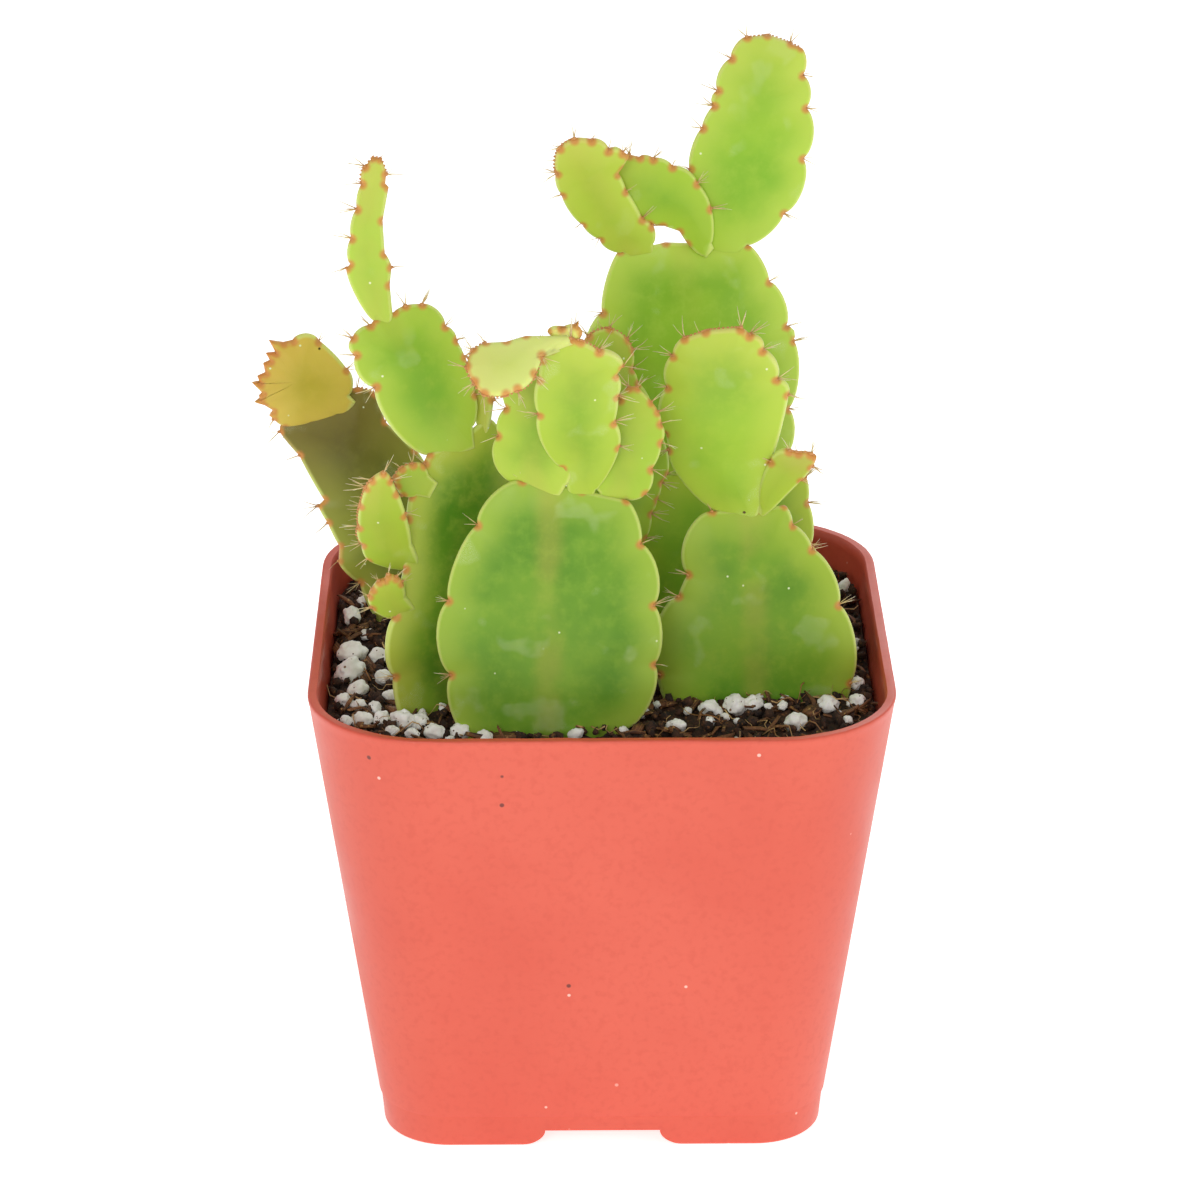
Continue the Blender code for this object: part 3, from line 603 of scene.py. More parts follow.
def pad_skin(pad, skin):
    """Waxy green skin: clouded flesh, darker places that are partly painted shade, a paler edge with a
    painted highlight along its rim, wool-brown notches, white specks and scuffs.
    """
    material, tree, shader = new_material(pad.name + "_skin")
    seed = sum(ord(letter) for letter in pad.name)
    place = object_place(tree, (seed * 0.013, seed * 0.007, 0))
    inward, reach, rise, sideways, notched = (painted_on(tree, name) for name in PAD_MEASURES)
    cloud = grain(tree, place, 110, 3, 0.5)
    mottle = grain(tree, place, 700, 4, 0.65)
    fine = grain(tree, place, 2600, 2)

    colour = mixed(tree, ramp(tree, cloud, 0.35, 0.65), srgb(*skin.deep), srgb(*skin.flesh))
    # The darker place is partly the pad's own blotch and partly painted shade, where other pads shade this
    # one.
    dark_across, dark_along, dark_radius = skin.dark
    off_across = add_node(tree, "ShaderNodeMath", {0: sideways, 1: dark_across}, operation="SUBTRACT")
    off_along = add_node(tree, "ShaderNodeMath", {0: rise, 1: dark_along}, operation="SUBTRACT")
    offset = add_node(tree, "ShaderNodeCombineXYZ", {"X": off_across.outputs[0], "Y": off_along.outputs[0]})
    distance = add_node(tree, "ShaderNodeVectorMath", {0: offset.outputs[0]}, operation="LENGTH")
    away = distance.outputs["Value"]
    colour = mixed(tree, ramp(tree, away, dark_radius, 0, 0, 0.75), colour, srgb(*skin.deep))
    away_from_edge = ramp(tree, inward, 0.2, 4.5)
    colour = mixed(tree, away_from_edge, srgb(*skin.light), colour)
    colour = mixed(tree, ramp(tree, mottle, 0.4, 0.75, 0, 0.3), colour, srgb(*skin.light))
    streak = product(tree, ramp(tree, add_node(
        tree, "ShaderNodeMath", {0: sideways}, operation="ABSOLUTE").outputs[0], 0.2, 2.2, 1, 0),
        ramp(tree, grain(tree, place, 160, 2), 0.3, 0.6))
    colour = mixed(tree, product(tree, streak, skin.streak), colour, srgb(196, 178, 84))
    youth = product(tree, ramp(tree, reach, 0.45, 1.0), skin.young)
    colour = mixed(tree, youth, colour, srgb(*skin.tip))
    # A thin pale lime band round the rim is partly the pad's paler edge and partly a painted highlight
    # where the round edge catches the light; towards a young tip it turns orange-brown.
    young_rim = ramp(tree, reach, 0.72, 0.97, 0, skin.young)
    rim_and_highlight = mixed(tree, young_rim, srgb(214, 224, 128), srgb(*skin.tip_rim))
    colour = mixed(tree, ramp(tree, inward, 0.08, 0.42, 0.75, 0), colour, rim_and_highlight)
    colour = mixed(tree, ramp(tree, notched, 0.25, 0.75, 0.85, 0), colour, srgb(206, 132, 66))

    colour = mixed(tree, specks(tree, place, 620, 0.16, 0.09), colour, srgb(228, 236, 190))
    colour = mixed(tree, specks(tree, place, 330, 0.07, 0.07), colour, srgb(84, 66, 30))
    scratch_cells = add_node(tree, "ShaderNodeTexVoronoi", {
        "Vector": bent_place(tree, place), "Scale": 330.0}, feature="DISTANCE_TO_EDGE")
    scratch = ramp(tree, scratch_cells.outputs["Distance"], 0.01, 0.05, 1, 0)
    scuffed = product(tree, scratch, ramp(tree, grain(tree, place, 210, 2), 0.6, 0.68))
    scuffed = product(tree, scuffed, skin.scuff)
    colour = mixed(tree, scuffed, colour, srgb(226, 234, 190))
    tree.links.new(colour, shader.inputs["Base Color"])
    tree.links.new(ramp(tree, mottle, 0.3, 0.7, 0.34, 0.48), shader.inputs["Roughness"])
    shader.inputs["Subsurface Weight"].default_value = 0.25
    shader.inputs["Subsurface Radius"].default_value = (0.7, 1.0, 0.2)
    shader.inputs["Subsurface Scale"].default_value = 1.2 * MM
    shader.inputs["Specular IOR Level"].default_value = 0.25
    bumped(tree, shader, (cloud, 0.3, 0.4), (mottle, 0.22, 0.08), (fine, 0.1, 0.02))
    return material


def small_shape(name, bm):
    """Keeps the bmesh as a mesh that plant copies many times."""
    shape = bpy.data.meshes.new(name)
    bm.to_mesh(shape)
    bm.free()
    return shape


def bristle_shape(bend):
    """A bristle one unit long: a slender three-sided spike that bends over towards its tip."""
    bm = bmesh.new()
    tall = bm.verts.layers.float.new("tall")
    bmesh.ops.create_cone(bm, cap_ends=True, segments=3, radius1=0.036, radius2=0.008, depth=1)
    uprights = [edge for edge in bm.edges if abs(edge.verts[0].co.z - edge.verts[1].co.z) > 0.5]
    bmesh.ops.subdivide_edges(bm, edges=uprights, cuts=2, use_grid_fill=True)
    for vert in bm.verts:
        vert.co.z += 0.5
        vert[tall] = vert.co.z
        vert.co.x += bend * vert.co.z ** 2
    return small_shape("bristle", bm)


def wool_shape():
    """A little cushion of wool, one unit in radius."""
    bm = bmesh.new()
    bm.verts.layers.float.new("tall")
    bmesh.ops.create_icosphere(bm, subdivisions=2, radius=1)
    for vert in bm.verts:
        vert.co *= 1 + 0.35 * noise.noise(vert.co * 1.7)
    return small_shape("wool", bm)


def plant(bm, shape, place):
    """Adds a copy of the shape, moved to its place."""
    count = len(bm.verts)
    bm.from_mesh(shape)
    bm.verts.ensure_lookup_table()
    bmesh.ops.transform(bm, matrix=place, verts=bm.verts[count:])


def bristle_place(root, way, length, draw):
    """The matrix that stands a bristle of this length, in millimetres, at a place."""
    turn = way.to_track_quat("Z", "Y").to_matrix().to_4x4()
    spin = Matrix.Rotation(draw.uniform(0, math.tau), 4, "Z")
    return Matrix.Translation(scene_point(*root)) @ turn @ spin @ Matrix.Scale(length * MM, 4)


def tuft(bm, pose, place, outward, count, length, draw):
    """Wool and a few bristles at one place of the edge, spread round the way outward."""
    wool = 0.15 + 0.02 * count
    middle = on_pad(pose, place.x, place.y)
    plant(bm, wool_shapes[draw.randrange(2)], Matrix.Translation(scene_point(*middle)) @ Matrix.Diagonal(
        (wool * MM, wool * MM, wool * 0.8 * MM, 1)))
    for _ in range(count):
        swing = math.radians(draw.uniform(-BRISTLE_SPREAD, BRISTLE_SPREAD))
        lift = draw.uniform(-0.5, 0.6)
        side = Vector((outward.y, -outward.x))
        way = outward * math.cos(swing) + side * math.sin(swing)
        way = (pose.across * way.x + pose.along * way.y + pose.facing * lift).normalized()
        reach = length * draw.uniform(0.55, 1.15)
        plant(bm, bristle_shapes[draw.randrange(4)], bristle_place(middle - way * 0.1, way, reach, draw))


def bristly(bm, pad, draw, mix_top):
    """A tuft in every notch of the pad's edge that is clear of the mix."""
    pose = pad_pose(pad)
    rows = [Vector(row[:2]) for row in pad.edge]
    swells = [row[2] for row in pad.edge]
    small = min(1.0, pose.length / 12)
    for before, notch, after, swell in zip(rows, rows[1:], rows[2:], swells[1:]):
        if not swell or on_pad(pose, *notch).z < mix_top or notch.y < 1 and pad.parent:
            continue
        chord = (after - before).normalized()
        outward = Vector((-chord.y, chord.x))
        tuft(bm, pose, notch, outward, draw.randint(2, 5), BRISTLE_LENGTH * (0.6 + 0.4 * small), draw)


def woolly(bm, pad, first, last, draw):
    """A close line of wool along the edge from one row to another, a bristle here and there."""
    pose = pad_pose(pad)
    for number in range(first, last):
        start, end = (Vector(pad.edge[index][:2]) for index in (number, number + 1))
        steps = max(1, round((end - start).length / FRINGE_SPACING))
        points = [start] + lobe(start, end, pad.edge[number + 1][2], steps)
        chord = (end - start).normalized()
        for place in points[:-1]:
            count = int(draw.random() < FRINGE_SHARE)
            tuft(bm, pose, place, Vector((-chord.y, chord.x)), count, FRINGE_LENGTH, draw)


def tan_bristle():
    """Straw coloured bristles, brown at the foot."""
    material, tree, shader = new_material("tan_bristle")
    tall = painted_on(tree, "tall")
    colour = mixed(tree, ramp(tree, tall, 0.0, 0.35), srgb(206, 148, 88), srgb(232, 214, 150))
    colour = mixed(tree, ramp(tree, tall, 0.4, 1.0), colour, srgb(244, 236, 200))
    shade = ramp(tree, grain(tree, object_place(tree), 900, 2), 0.35, 0.7, 0, 0.45)
    tree.links.new(mixed(tree, shade, colour, srgb(176, 108, 50)), shader.inputs["Base Color"])
    shader.inputs["Roughness"].default_value = 0.6
    return material


bristle_material = tan_bristle()
bristle_shapes = [bristle_shape(bend) for bend in (0.05, 0.14, 0.24, -0.1)]
wool_shapes = [wool_shape(), wool_shape()]
MIX_TOP = 46.0


def grow_stem(node, stem_pads, skins, woolly_edges, seed):
    """Every pad of the stem as a piece of its own, and one piece with all its bristles."""
    draw = random.Random(seed)
    tufts = bmesh.new()
    tufts.verts.layers.float.new("tall")
    for pad in stem_pads:
        pads[pad.name] = pad
        piece = new_piece(pad.name, pad_mesh(pad), pad_skin(pad, skins[pad.name]))
        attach(piece, "root")
        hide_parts(node)
        bristly(tufts, pad, draw, MIX_TOP + 0.8)
    for name, first, last in woolly_edges:
        woolly(tufts, pads[name], first, last, draw)
    piece = new_piece(node.replace("stem", "bristles"), tufts, bristle_material)
    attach(piece, "root")
    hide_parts(node)


front_pads = [
    Pad("front_base", None, (-3, -20, 38), 0, 6, 0, 6, [
        (-2, 0, 0), (-8, 5, 0.8), (-12.3, 14, 1.9), (-12.5, 21.7, 1.4), (-9.5, 29.5, 0.9),
        (-5, 34, 1.2), (-2, 33.8, 0), (1, 33, 0), (5.5, 32, 0), (6.9, 27.5, 0.6), (8.2, 21.2, 1.2),
        (8.3, 15, 0.9), (5, 8, 1.4), (2, 0, 0.8)]),
    Pad("front_top_left", "front_base", (-3.5, 33.7), -14, 4, -15, 10, [
        (-1.9, 0.3, 0), (-2.7, 5.6, 1.6), (-1.2, 8.2, 0.6), (-1, 11.5, 0.3), (1.5, 13.6, 0.6),
        (4.3, 13, 0), (5.6, 10, 0), (5.4, 5, 0), (3, -0.6, 0.6)]),
    Pad("front_top_middle", "front_base", (1, 33), 0, -14, 4, -8, [
        (-1.5, 0.3, 0), (-2, 3, 0), (-4.3, 9.8, 1), (-4.3, 14.3, 0.5), (-4.1, 16.8, 0.1),
        (-3.2, 18.2, 0.1), (-1.2, 19.3, 0.2), (-0.2, 19, 0), (1.6, 17.6, 0.1), (4, 15.4, 0.7),
        (3.4, 14.3, 0), (3.5, 11.7, 0.4), (3.2, 8.4, 0.2), (3.7, 5.3, 0.4), (1.4, 0.1, 0.4)]),
    Pad("front_top_right", "front_base", (4, 32.2, -0.5), 16, 5, 4, 6, [
        (-1.4, 0.2, 0), (-3, 4.6, 0.5), (-2.6, 8, 0.4), (-2, 10, 0.1), (-1.4, 11.4, 0.3),
        (-0.6, 11.6, 0.1), (1.2, 10.5, 0.1), (2.1, 9.7, 0.1), (2.7, 8.6, 0.2), (3.3, 6.7, 0.4),
        (3.1, 3.8, 0.3), (3.2, 1.2, 0.5), (1.4, 0.2, 0.4)]),
    Pad("front_young_tip", "front_top_middle", (-2.4, 18.7, 0.5), -97, -12, 35, 0, [
        (-0.1, 0.6, 0), (-0.7, 1.9, 0.1), (-2.4, 3, 0.1), (-3.6, 5, 0.3), (-3.9, 6.2, 0),
        (-3.4, 8.3, 0.1), (-2, 9, 0.1), (-0.3, 9.4, 0.1), (1.3, 8.4, 0.1), (1.8, 7, 0.1), (1.5, 5, 0),
        (1.7, 3, 0), (1.2, 0.4, 0)]),
    Pad("front_tip_bud", "front_top_middle", (-0.7, 18.9, -0.6), 12, 12, 0, 0, [
        (-2, -0.5, 0), (-2.8, 0, 0.1), (-1.5, 0.6, 0.4), (-0.2, 1.2, 0.2), (0, 1.7, 0), (0.1, 1.1, 0),
        (0.6, 0.5, 0.1), (0.3, -0.3, 0.1)]),
]
front_skins = {
    "front_base": Skin((128, 170, 50), (98, 148, 38), (158, 188, 66), 0.3, 0.7, (-6, 14, 9)),
    "front_top_left": Skin((158, 192, 58), (134, 178, 48), (182, 206, 74), young=0.2),
    "front_top_middle": Skin((160, 192, 60), (136, 176, 50), (176, 202, 70), 0.1, 0.6, (0, 12, 5), 0.2),
    "front_top_right": Skin((156, 190, 56), (134, 178, 48), (168, 198, 62), young=0.2),
    "front_young_tip": Skin(
        (208, 220, 114), (194, 210, 96), (216, 224, 128), 0.0, 0.0, young=0.8,
        tip=(212, 214, 118), tip_rim=(214, 140, 72)),
    "front_tip_bud": Skin((220, 226, 112), (204, 216, 100), (226, 228, 122), 0.0, 0.0, young=0.4),
}
front_wool = [("front_top_middle", 4, 8), ("front_young_tip", 1, 9)]
grow_stem("stem_front", front_pads, front_skins, front_wool, 11)

# Middle stem
# Two narrow pads behind the front stem. The lower one is nearly hidden, and the upper one
# shows between the stems on either side.
middle_pads = [
    Pad("middle_base", None, (0.5, -5, 38), 2, 3, 0, 3, [
        (-1.7, 0, 0), (-4, 7, 1), (-4, 14, 1), (-2.5, 19.8, 1), (2, 19.8, 0), (4, 14, 1), (4, 7, 1),
        (1.7, 0, 0.8)]),
    Pad("middle_top", "middle_base", (0.8, 20), 3, 3, 14, 5, [
        (-1.1, 0, 0), (-3.5, 6.5, 0.8), (-4.6, 12.5, 1), (-5.2, 18.5, 1), (-4.9, 23.8, 0.6),
        (-4.4, 24.5, 0.1), (-2.2, 25.3, 0.3), (-0.3, 24.1, 0.2), (0.3, 23, 0.1), (0.3, 21, 0.2),
        (1, 19.5, 0.2), (3.2, 14.5, 0.6), (4.6, 9.7, 0.6), (4, 8.8, 0.1), (3.6, 7, 0.2), (3, 5.5, 0.2),
        (2.6, 2.8, 0.3), (1.4, 0, 0.2)]),
]
middle_skins = {
    "middle_base": Skin((132, 174, 48), (110, 156, 40), (154, 184, 58)),
    "middle_top": Skin((150, 190, 54), (128, 172, 46), (172, 200, 62), young=0.2),
}
grow_stem("stem_middle", middle_pads, middle_skins, [("middle_top", 5, 8)], 12)

# Right stem
# A broad pad in the mix on the right, with a second broad pad standing on its top edge in
# front, and a small one behind it that leans out to the right.
right_pads = [
    Pad("right_base", None, (16.5, -11, 38), 0, 5, 4, 8, [
        (-2, 0, 0), (-7, 4, 0.8), (-10.5, 10.5, 1), (-8.5, 18.7, 1.6), (-7.5, 21, 0.1), (-5, 27.5, 1.7),
        (0, 27.7, 0), (2.5, 28, 0), (3.3, 25.9, 0.3), (5.3, 23.3, 0.5), (8.1, 17.4, 1), (9.4, 9, 1.2),
        (5.5, 3, 1), (2, 0, 0.8)]),
    Pad("right_top", "right_base", (-2, 27.5), -4, -6, -8, -6, [
        (-2.1, 0, 0), (-7, 7.2, 1.2), (-7.2, 9.2, 0), (-6.6, 14.5, 0.9), (-5.8, 18.2, 0.7),
        (-4.5, 20.3, 0.4), (-2.3, 21.1, 0), (1.3, 21.4, 0.1), (2.1, 20.6, 0.1), (3.3, 18.8, 0.7),
        (4.5, 15.3, 0.8), (5.6, 13.5, 0.6), (3.4, 5.7, 0.2), (2.1, 0.5, 0.3)]),
    Pad("right_side", "right_base", (1, 27.8, 0.8), 40, -16, 0, 0, [
        (-1.2, -0.5, 0), (-3.7, 4.4, 0.5), (-3.2, 6.8, 0.6), (-2.4, 7.3, 0), (-1.4, 8.1, 0.1),
        (-0.8, 8.2, 0), (-0.3, 7, 0.1), (0, 5, 0.1), (0.2, 0.5, 0)]),
]
right_skins = {
    "right_base": Skin((130, 170, 46), (98, 148, 36), (162, 188, 62), 0.25, 0.6, (3, 8, 9)),
    "right_top": Skin((163, 200, 58), (134, 182, 48), (182, 208, 72), 0.0, 0.5, (0, 15, 6), 0.3),
    "right_side": Skin((154, 190, 50), (134, 176, 44), (178, 202, 68), young=0.8, tip=(190, 184, 84)),
}
right_wool = [("right_side", 2, 5), ("right_top", 5, 7)]
grow_stem("stem_right", right_pads, right_skins, right_wool, 13)

# Tall stem
# The tallest stem, behind the others: two broad pads one on the other, and on the upper one's
# top edge an arm to the left, a pad folded over it, and the plant's highest pad.
tall_pads = [
    Pad("tall_base", None, (14, 5, 38), 4, 4, 6, 4, [
        (-2.2, 0, 0), (-7.5, 4, 0.6), (-11, 9, 0.6), (-12, 16, 1.2), (-10.5, 23, 1.5), (-6.5, 26, 1),
        (-2.5, 26.3, 0), (3.4, 27.2, 0), (6.2, 25.7, 0.5), (6.6, 22.9, 0.3), (7.3, 18.3, 0.5),
        (7.3, 9.5, 1.5), (5.5, 2.5, 1), (2.2, 0, 0.8)]),
    Pad("tall_second", "tall_base", (-4.5, 25.7), -3, 3, 8, 4, [
        (-2, 0, 0), (-8.5, 3.5, 0.8), (-12, 10, 0.8), (-10, 18.5, 1.4), (-7.8, 24.9, 0.6),
        (-5, 25.1, 0), (-3, 25.4, 0), (0, 25, 0), (5.7, 24.3, 0), (7.7, 20.2, 0.5), (9.3, 15.2, 0.9),
        (10, 13.6, 0.6), (9.1, 6.3, 0.9), (8.6, 1.2, 0.9), (5, -0.8, 0.8), (2, 0, 0)]),
    Pad("tall_arm_left", "tall_second", (-6.2, 25.1, 0.3), -32, -16, -4, 0, [
        (-1.3, 0.4, 0), (-2.4, 3.2, 0.6), (-3, 5.8, 0.3), (-2.9, 10, 0.4), (-2, 12.5, 0.4),
        (-0.2, 15, 0.4), (1.6, 15.1, 0.2), (3, 14, 0.1), (3.8, 12, 0.5), (4.9, 10.9, 0.4),
        (5.2, 10.1, 0), (4, 9.3, 0), (3.2, 8.9, 0), (2.8, 6.6, 0.1), (2.5, 2.8, 0.1), (2.9, 1.4, 0.1),
        (1.9, -0.5, 0.3)]),
    Pad("tall_arm_bent", "tall_second", (0.3, 25, 1), -50, -4, 4, 0, [
        (-0.8, -0.5, 0), (-0.6, 1, 0), (-0.1, 2.5, 0), (-0.7, 4.3, 0), (-1.4, 5.5, 0), (-1.6, 9, 0),
        (0, 12, 0), (2, 12.6, 0), (3, 11.9, 0.1), (3.5, 10.9, 0), (4.2, 9.7, 0.3), (4.8, 7.6, 0.4),
        (5, 4.4, 0.6), (3.8, 1.5, 0.3), (1, -1, 0.3)]),
    Pad("tall_tip", "tall_second", (3, 24.8), 12, 6, 6, 4, [
        (-2.2, -0.6, 0), (-4.4, 3.2, 0.8), (-5, 7, 0.3), (-4.6, 11.4, 0.5), (-3.9, 13.9, 0.3),
        (-3.8, 15.5, 0.5), (-3.1, 19, 0.7), (-2, 21.5, 0.5), (0, 22.1, 0), (2.6, 21.7, 0.1),
        (3.7, 21.5, 0), (4.5, 18.7, 0.6), (5.6, 15.4, 0.8), (6.4, 10.2, 1.1), (5.7, 4.2, 1.2),
        (2.6, 0.2, 0.7)]),
]
tall_skins = {
    # The tall base's darker place is painted shade, where the stems in front shade it.
    "tall_base": Skin((150, 190, 54), (120, 166, 44), (186, 206, 66), 0.3, 0.5, (-2, 16, 7)),
    "tall_second": Skin((160, 197, 58), (136, 182, 48), (184, 210, 78), 0.1, 0.6, (1, 14, 8)),
    "tall_arm_left": Skin((164, 196, 58), (144, 184, 50), (188, 208, 76), young=0.35),
    "tall_arm_bent": Skin((146, 188, 50), (122, 172, 42), (168, 200, 60), 0.0, 0.4, (4, 10, 5), 0.3),
    "tall_tip": Skin((164, 202, 60), (136, 186, 48), (180, 208, 74), 0.0, 0.5, (0, 16, 6), 0.3),
}
tall_wool = [("tall_tip", 7, 10), ("tall_arm_left", 4, 6)]
grow_stem("stem_tall", tall_pads, tall_skins, tall_wool, 14)

# Left stem
# A tall pad with a ridge down its middle, turned partly away. A second pad and a slim new one
# stand on its top edge, one small pad hides behind them, and three little pads grow from its
# left edge.
left_pads = [
    Pad("left_base", None, (-17.5, -13, 38), 6, 4, 26, 4, [
        (-1.8, 0, 0), (-3.5, 5, 0.4), (-5.5, 11.5, 0.5), (-6, 18, 1.1), (-5.4, 23, 0),
        (-5.5, 28.3, 0.3), (-5.3, 30.7, 0.1), (-3.9, 34, 0.4), (-3.5, 35, 0), (0, 36.5, 0),
        (2.7, 38.5, 0), (4.4, 36.8, 0.4), (6.2, 29, 1), (5.5, 20.5, 1.2), (3.5, 12, 1.1), (3, 5, 0.4),
        (1.8, 0, 0.5)]),
    Pad("left_second", "left_base", (-0.7, 36.2), -22, 3, 16, 6, [
        (-3, -0.1, 0), (-5.1, 8.6, 1.3), (-5.6, 12.4, 0.9), (-5.2, 14.1, 0.6), (-3.1, 14.5, 0.4),
        (-2.4, 14.9, 0), (-0.3, 14.7, 0), (1, 14.8, 0.1), (2.6, 14.2, 0.1), (3.8, 11.2, 0.7),
        (4.3, 9.4, 0.4), (4.4, 7.5, 0.1), (3.8, 3.5, 0.2), (2.3, 0.6, 0.4)]),
    Pad("left_tip", "left_second", (-1.6, 14.5), -6, 2, 0, 4, [
        (-1, 0, 0), (-3, 5.7, 0.5), (-2.6, 6.1, 0), (-2.1, 8.7, 0.4), (-1.2, 11.6, 0.4),
        (-0.4, 14.1, 0.3), (0.1, 15.8, 0.3), (1, 16.7, 0), (1.7, 16.5, 0), (2.1, 14.8, 0.1),
        (1.9, 13.9, 0), (2.2, 13.5, 0), (1.2, 10.2, 0), (1, 6.8, 0), (1.5, 5.3, 0.1), (1.1, 3.5, 0),
        (1, 0.3, 0)]),
    Pad("left_back_bud", "left_base", (2.5, 38), 4, 10, -20, 0, [
        (-0.7, -0.3, 0), (-1.2, 2.5, 0.2), (-1.2, 5.5, 0.3), (0.2, 6.8, 0.4), (1.2, 5.5, 0.3),
        (0.9, 2.5, 0.2), (0.7, 0, 0)]),
    Pad("left_round_bud", "left_base", (-4.5, 32, 0.6), -58, -14, 10, 0, [
        (-1.2, -0.1, 0), (-1.8, 1.2, 0.2), (-1.2, 2.3, 0.1), (-0.4, 2.9, 0.1), (0.7, 2.8, 0.1),
        (1.6, 1.9, 0.1), (2, 0.8, 0.2), (1.3, -0.2, 0.1)]),
    Pad("left_side_pad", "left_base", (-5, 24.5, 0.3), -24, -20, -10, -6, [
        (-1.3, -1.4, 0), (-4.1, 1.2, 0.4), (-3.7, 3.4, 0.3), (-3, 5.8, 0.4), (-1.6, 8.6, 0.2),
        (0, 10.8, 0.1), (1, 11.6, 0.1), (2.6, 12.1, 0.1), (2.8, 10.7, 0.1), (2.6, 8.8, 0),
        (2.1, 5.7, 0.1), (0.9, 1.5, 0.1)]),
    Pad("left_low_bud", "left_base", (-5.5, 19.5, 0.3), -42, -16, -5, 0, [
        (-1.8, -0.9, 0), (-2.5, 1.8, 0.4), (-1.7, 3.1, 0.2), (-0.9, 3.5, 0.1), (0.3, 3.8, 0.1),
        (0.9, 3.6, 0), (1.5, 3.7, 0.1), (1.9, 2.9, 0.1), (1.9, 2, 0.1), (0.9, 0.4, 0.1)]),
]
left_skins = {
    # The left base's wide darker place over its right half is painted shade, where its ridge turns that
    # half from the light and the front stem shades it.
    "left_base": Skin((124, 166, 44), (86, 136, 30), (176, 190, 68), 0.1, 0.4, (3.5, 26, 13)),
    "left_second": Skin((152, 192, 54), (122, 172, 42), (170, 198, 66), 0.1, 0.5, (0, 9, 5)),
    "left_tip": Skin((158, 196, 58), (138, 182, 50), (178, 204, 74), young=0.5),
    "left_back_bud": Skin((176, 190, 66), (156, 178, 56), (186, 194, 78)),
    "left_round_bud": Skin((148, 186, 50), (126, 168, 42), (160, 190, 58)),
    "left_side_pad": Skin((140, 182, 46), (112, 160, 36), (166, 190, 60), young=0.3),
    "left_low_bud": Skin((166, 198, 58), (146, 184, 50), (174, 200, 66)),
}
left_wool = [("left_tip", 5, 9), ("left_side_pad", 2, 6), ("left_round_bud", 2, 5)]
grow_stem("stem_left", left_pads, left_skins, left_wool, 15)

# Far left stem
# An old olive pad that has thickened into a stalk and leans left, browned near its top, with
# a thin golden new pad whose edge is drawn out in small points.
far_left_pads = [
    Pad("far_left_base", None, (-20.5, 11, 38), -17, 8, 14, 6, [
        (-1.2, 0, 0), (-0.9, 7, 0.3), (-1.7, 12.5, 0.4), (-3.2, 15.5, 0.4), (-2.6, 17, 0),
        (-3, 19.8, 0.1), (-3.4, 21.9, 0.1), (-2.6, 22.3, 0), (-3.6, 27.7, 0.1), (-4.8, 30.8, 0.1),
        (-4.2, 31.7, 0.1), (2.4, 32.2, 0), (4.6, 32.5, 0.2), (6.2, 31.4, 0.2), (6.3, 28.2, 0.1),
        (8.4, 24.2, 0), (8.6, 19, 0.6), (7, 12, 1), (4.5, 5.5, 0.8), (1.2, 0, 0.6)]),
    Pad("far_left_young", "far_left_base", (2, 31.5, 0.6), -62, -13, 0, 0, [
        (-1, -0.5, 0), (-3.1, 1.6, 0.3), (-4.5, 4.2, 0.4), (-4.2, 5.7, 0.1), (-4, 6.3, 0),
        (-3.3, 6.2, 0), (-3.1, 7.4, 0), (-3.2, 8.5, 0), (-2.7, 8.1, 0), (-2.3, 8.4, 0), (-1.9, 8.2, 0),
        (-1.2, 9.8, 0), (-0.9, 9, 0), (-0.3, 9.6, 0), (0.4, 9, 0), (1.3, 9.7, 0), (1.9, 9.2, 0),
        (2.5, 10, 0), (3, 9.1, 0), (4, 10.4, 0), (4.4, 8.8, 0), (5, 8, 0), (6, 5.4, 0.8),
        (4.2, 1.1, 0.2), (1.6, -0.5, 0.6)]),
]
far_left_skins = {
    "far_left_base": Skin(
        (126, 138, 46), (98, 112, 36), (160, 166, 64), 0.2, 0.5, (1, 29, 6), 0.75,
        (112, 88, 42), (150, 96, 48)),
    "far_left_young": Skin(
        (200, 182, 70), (184, 168, 58), (216, 192, 84), 0.0, 0.1, (0, 0, 1), 0.9,
        (206, 176, 74), (206, 120, 52)),
}
far_left_wool = [("far_left_base", 11, 13)]
grow_stem("stem_far_left", far_left_pads, far_left_skins, far_left_wool, 16)

# Potting mix
# Dark peaty compost that fills the pot to just under its rim, a loose surface of crumbs with
# chips and slivers of bark and pale root fibres lying in it.
GAP = 0.35
MIX_BOTTOM = FLOOR_UNDER + FLOOR + GAP
MIX_RELIEF = 0.7
MIX_GRID = 120
CRUMBS = 1700
CHIPS = 200
SLIVERS = 420
FIBRES = 240


def mix_height(x, y):
    """The gentle lie of the mix's surface."""
    return MIX_TOP + MIX_RELIEF * noise.noise(Vector((x, y, 0)) * 0.22)


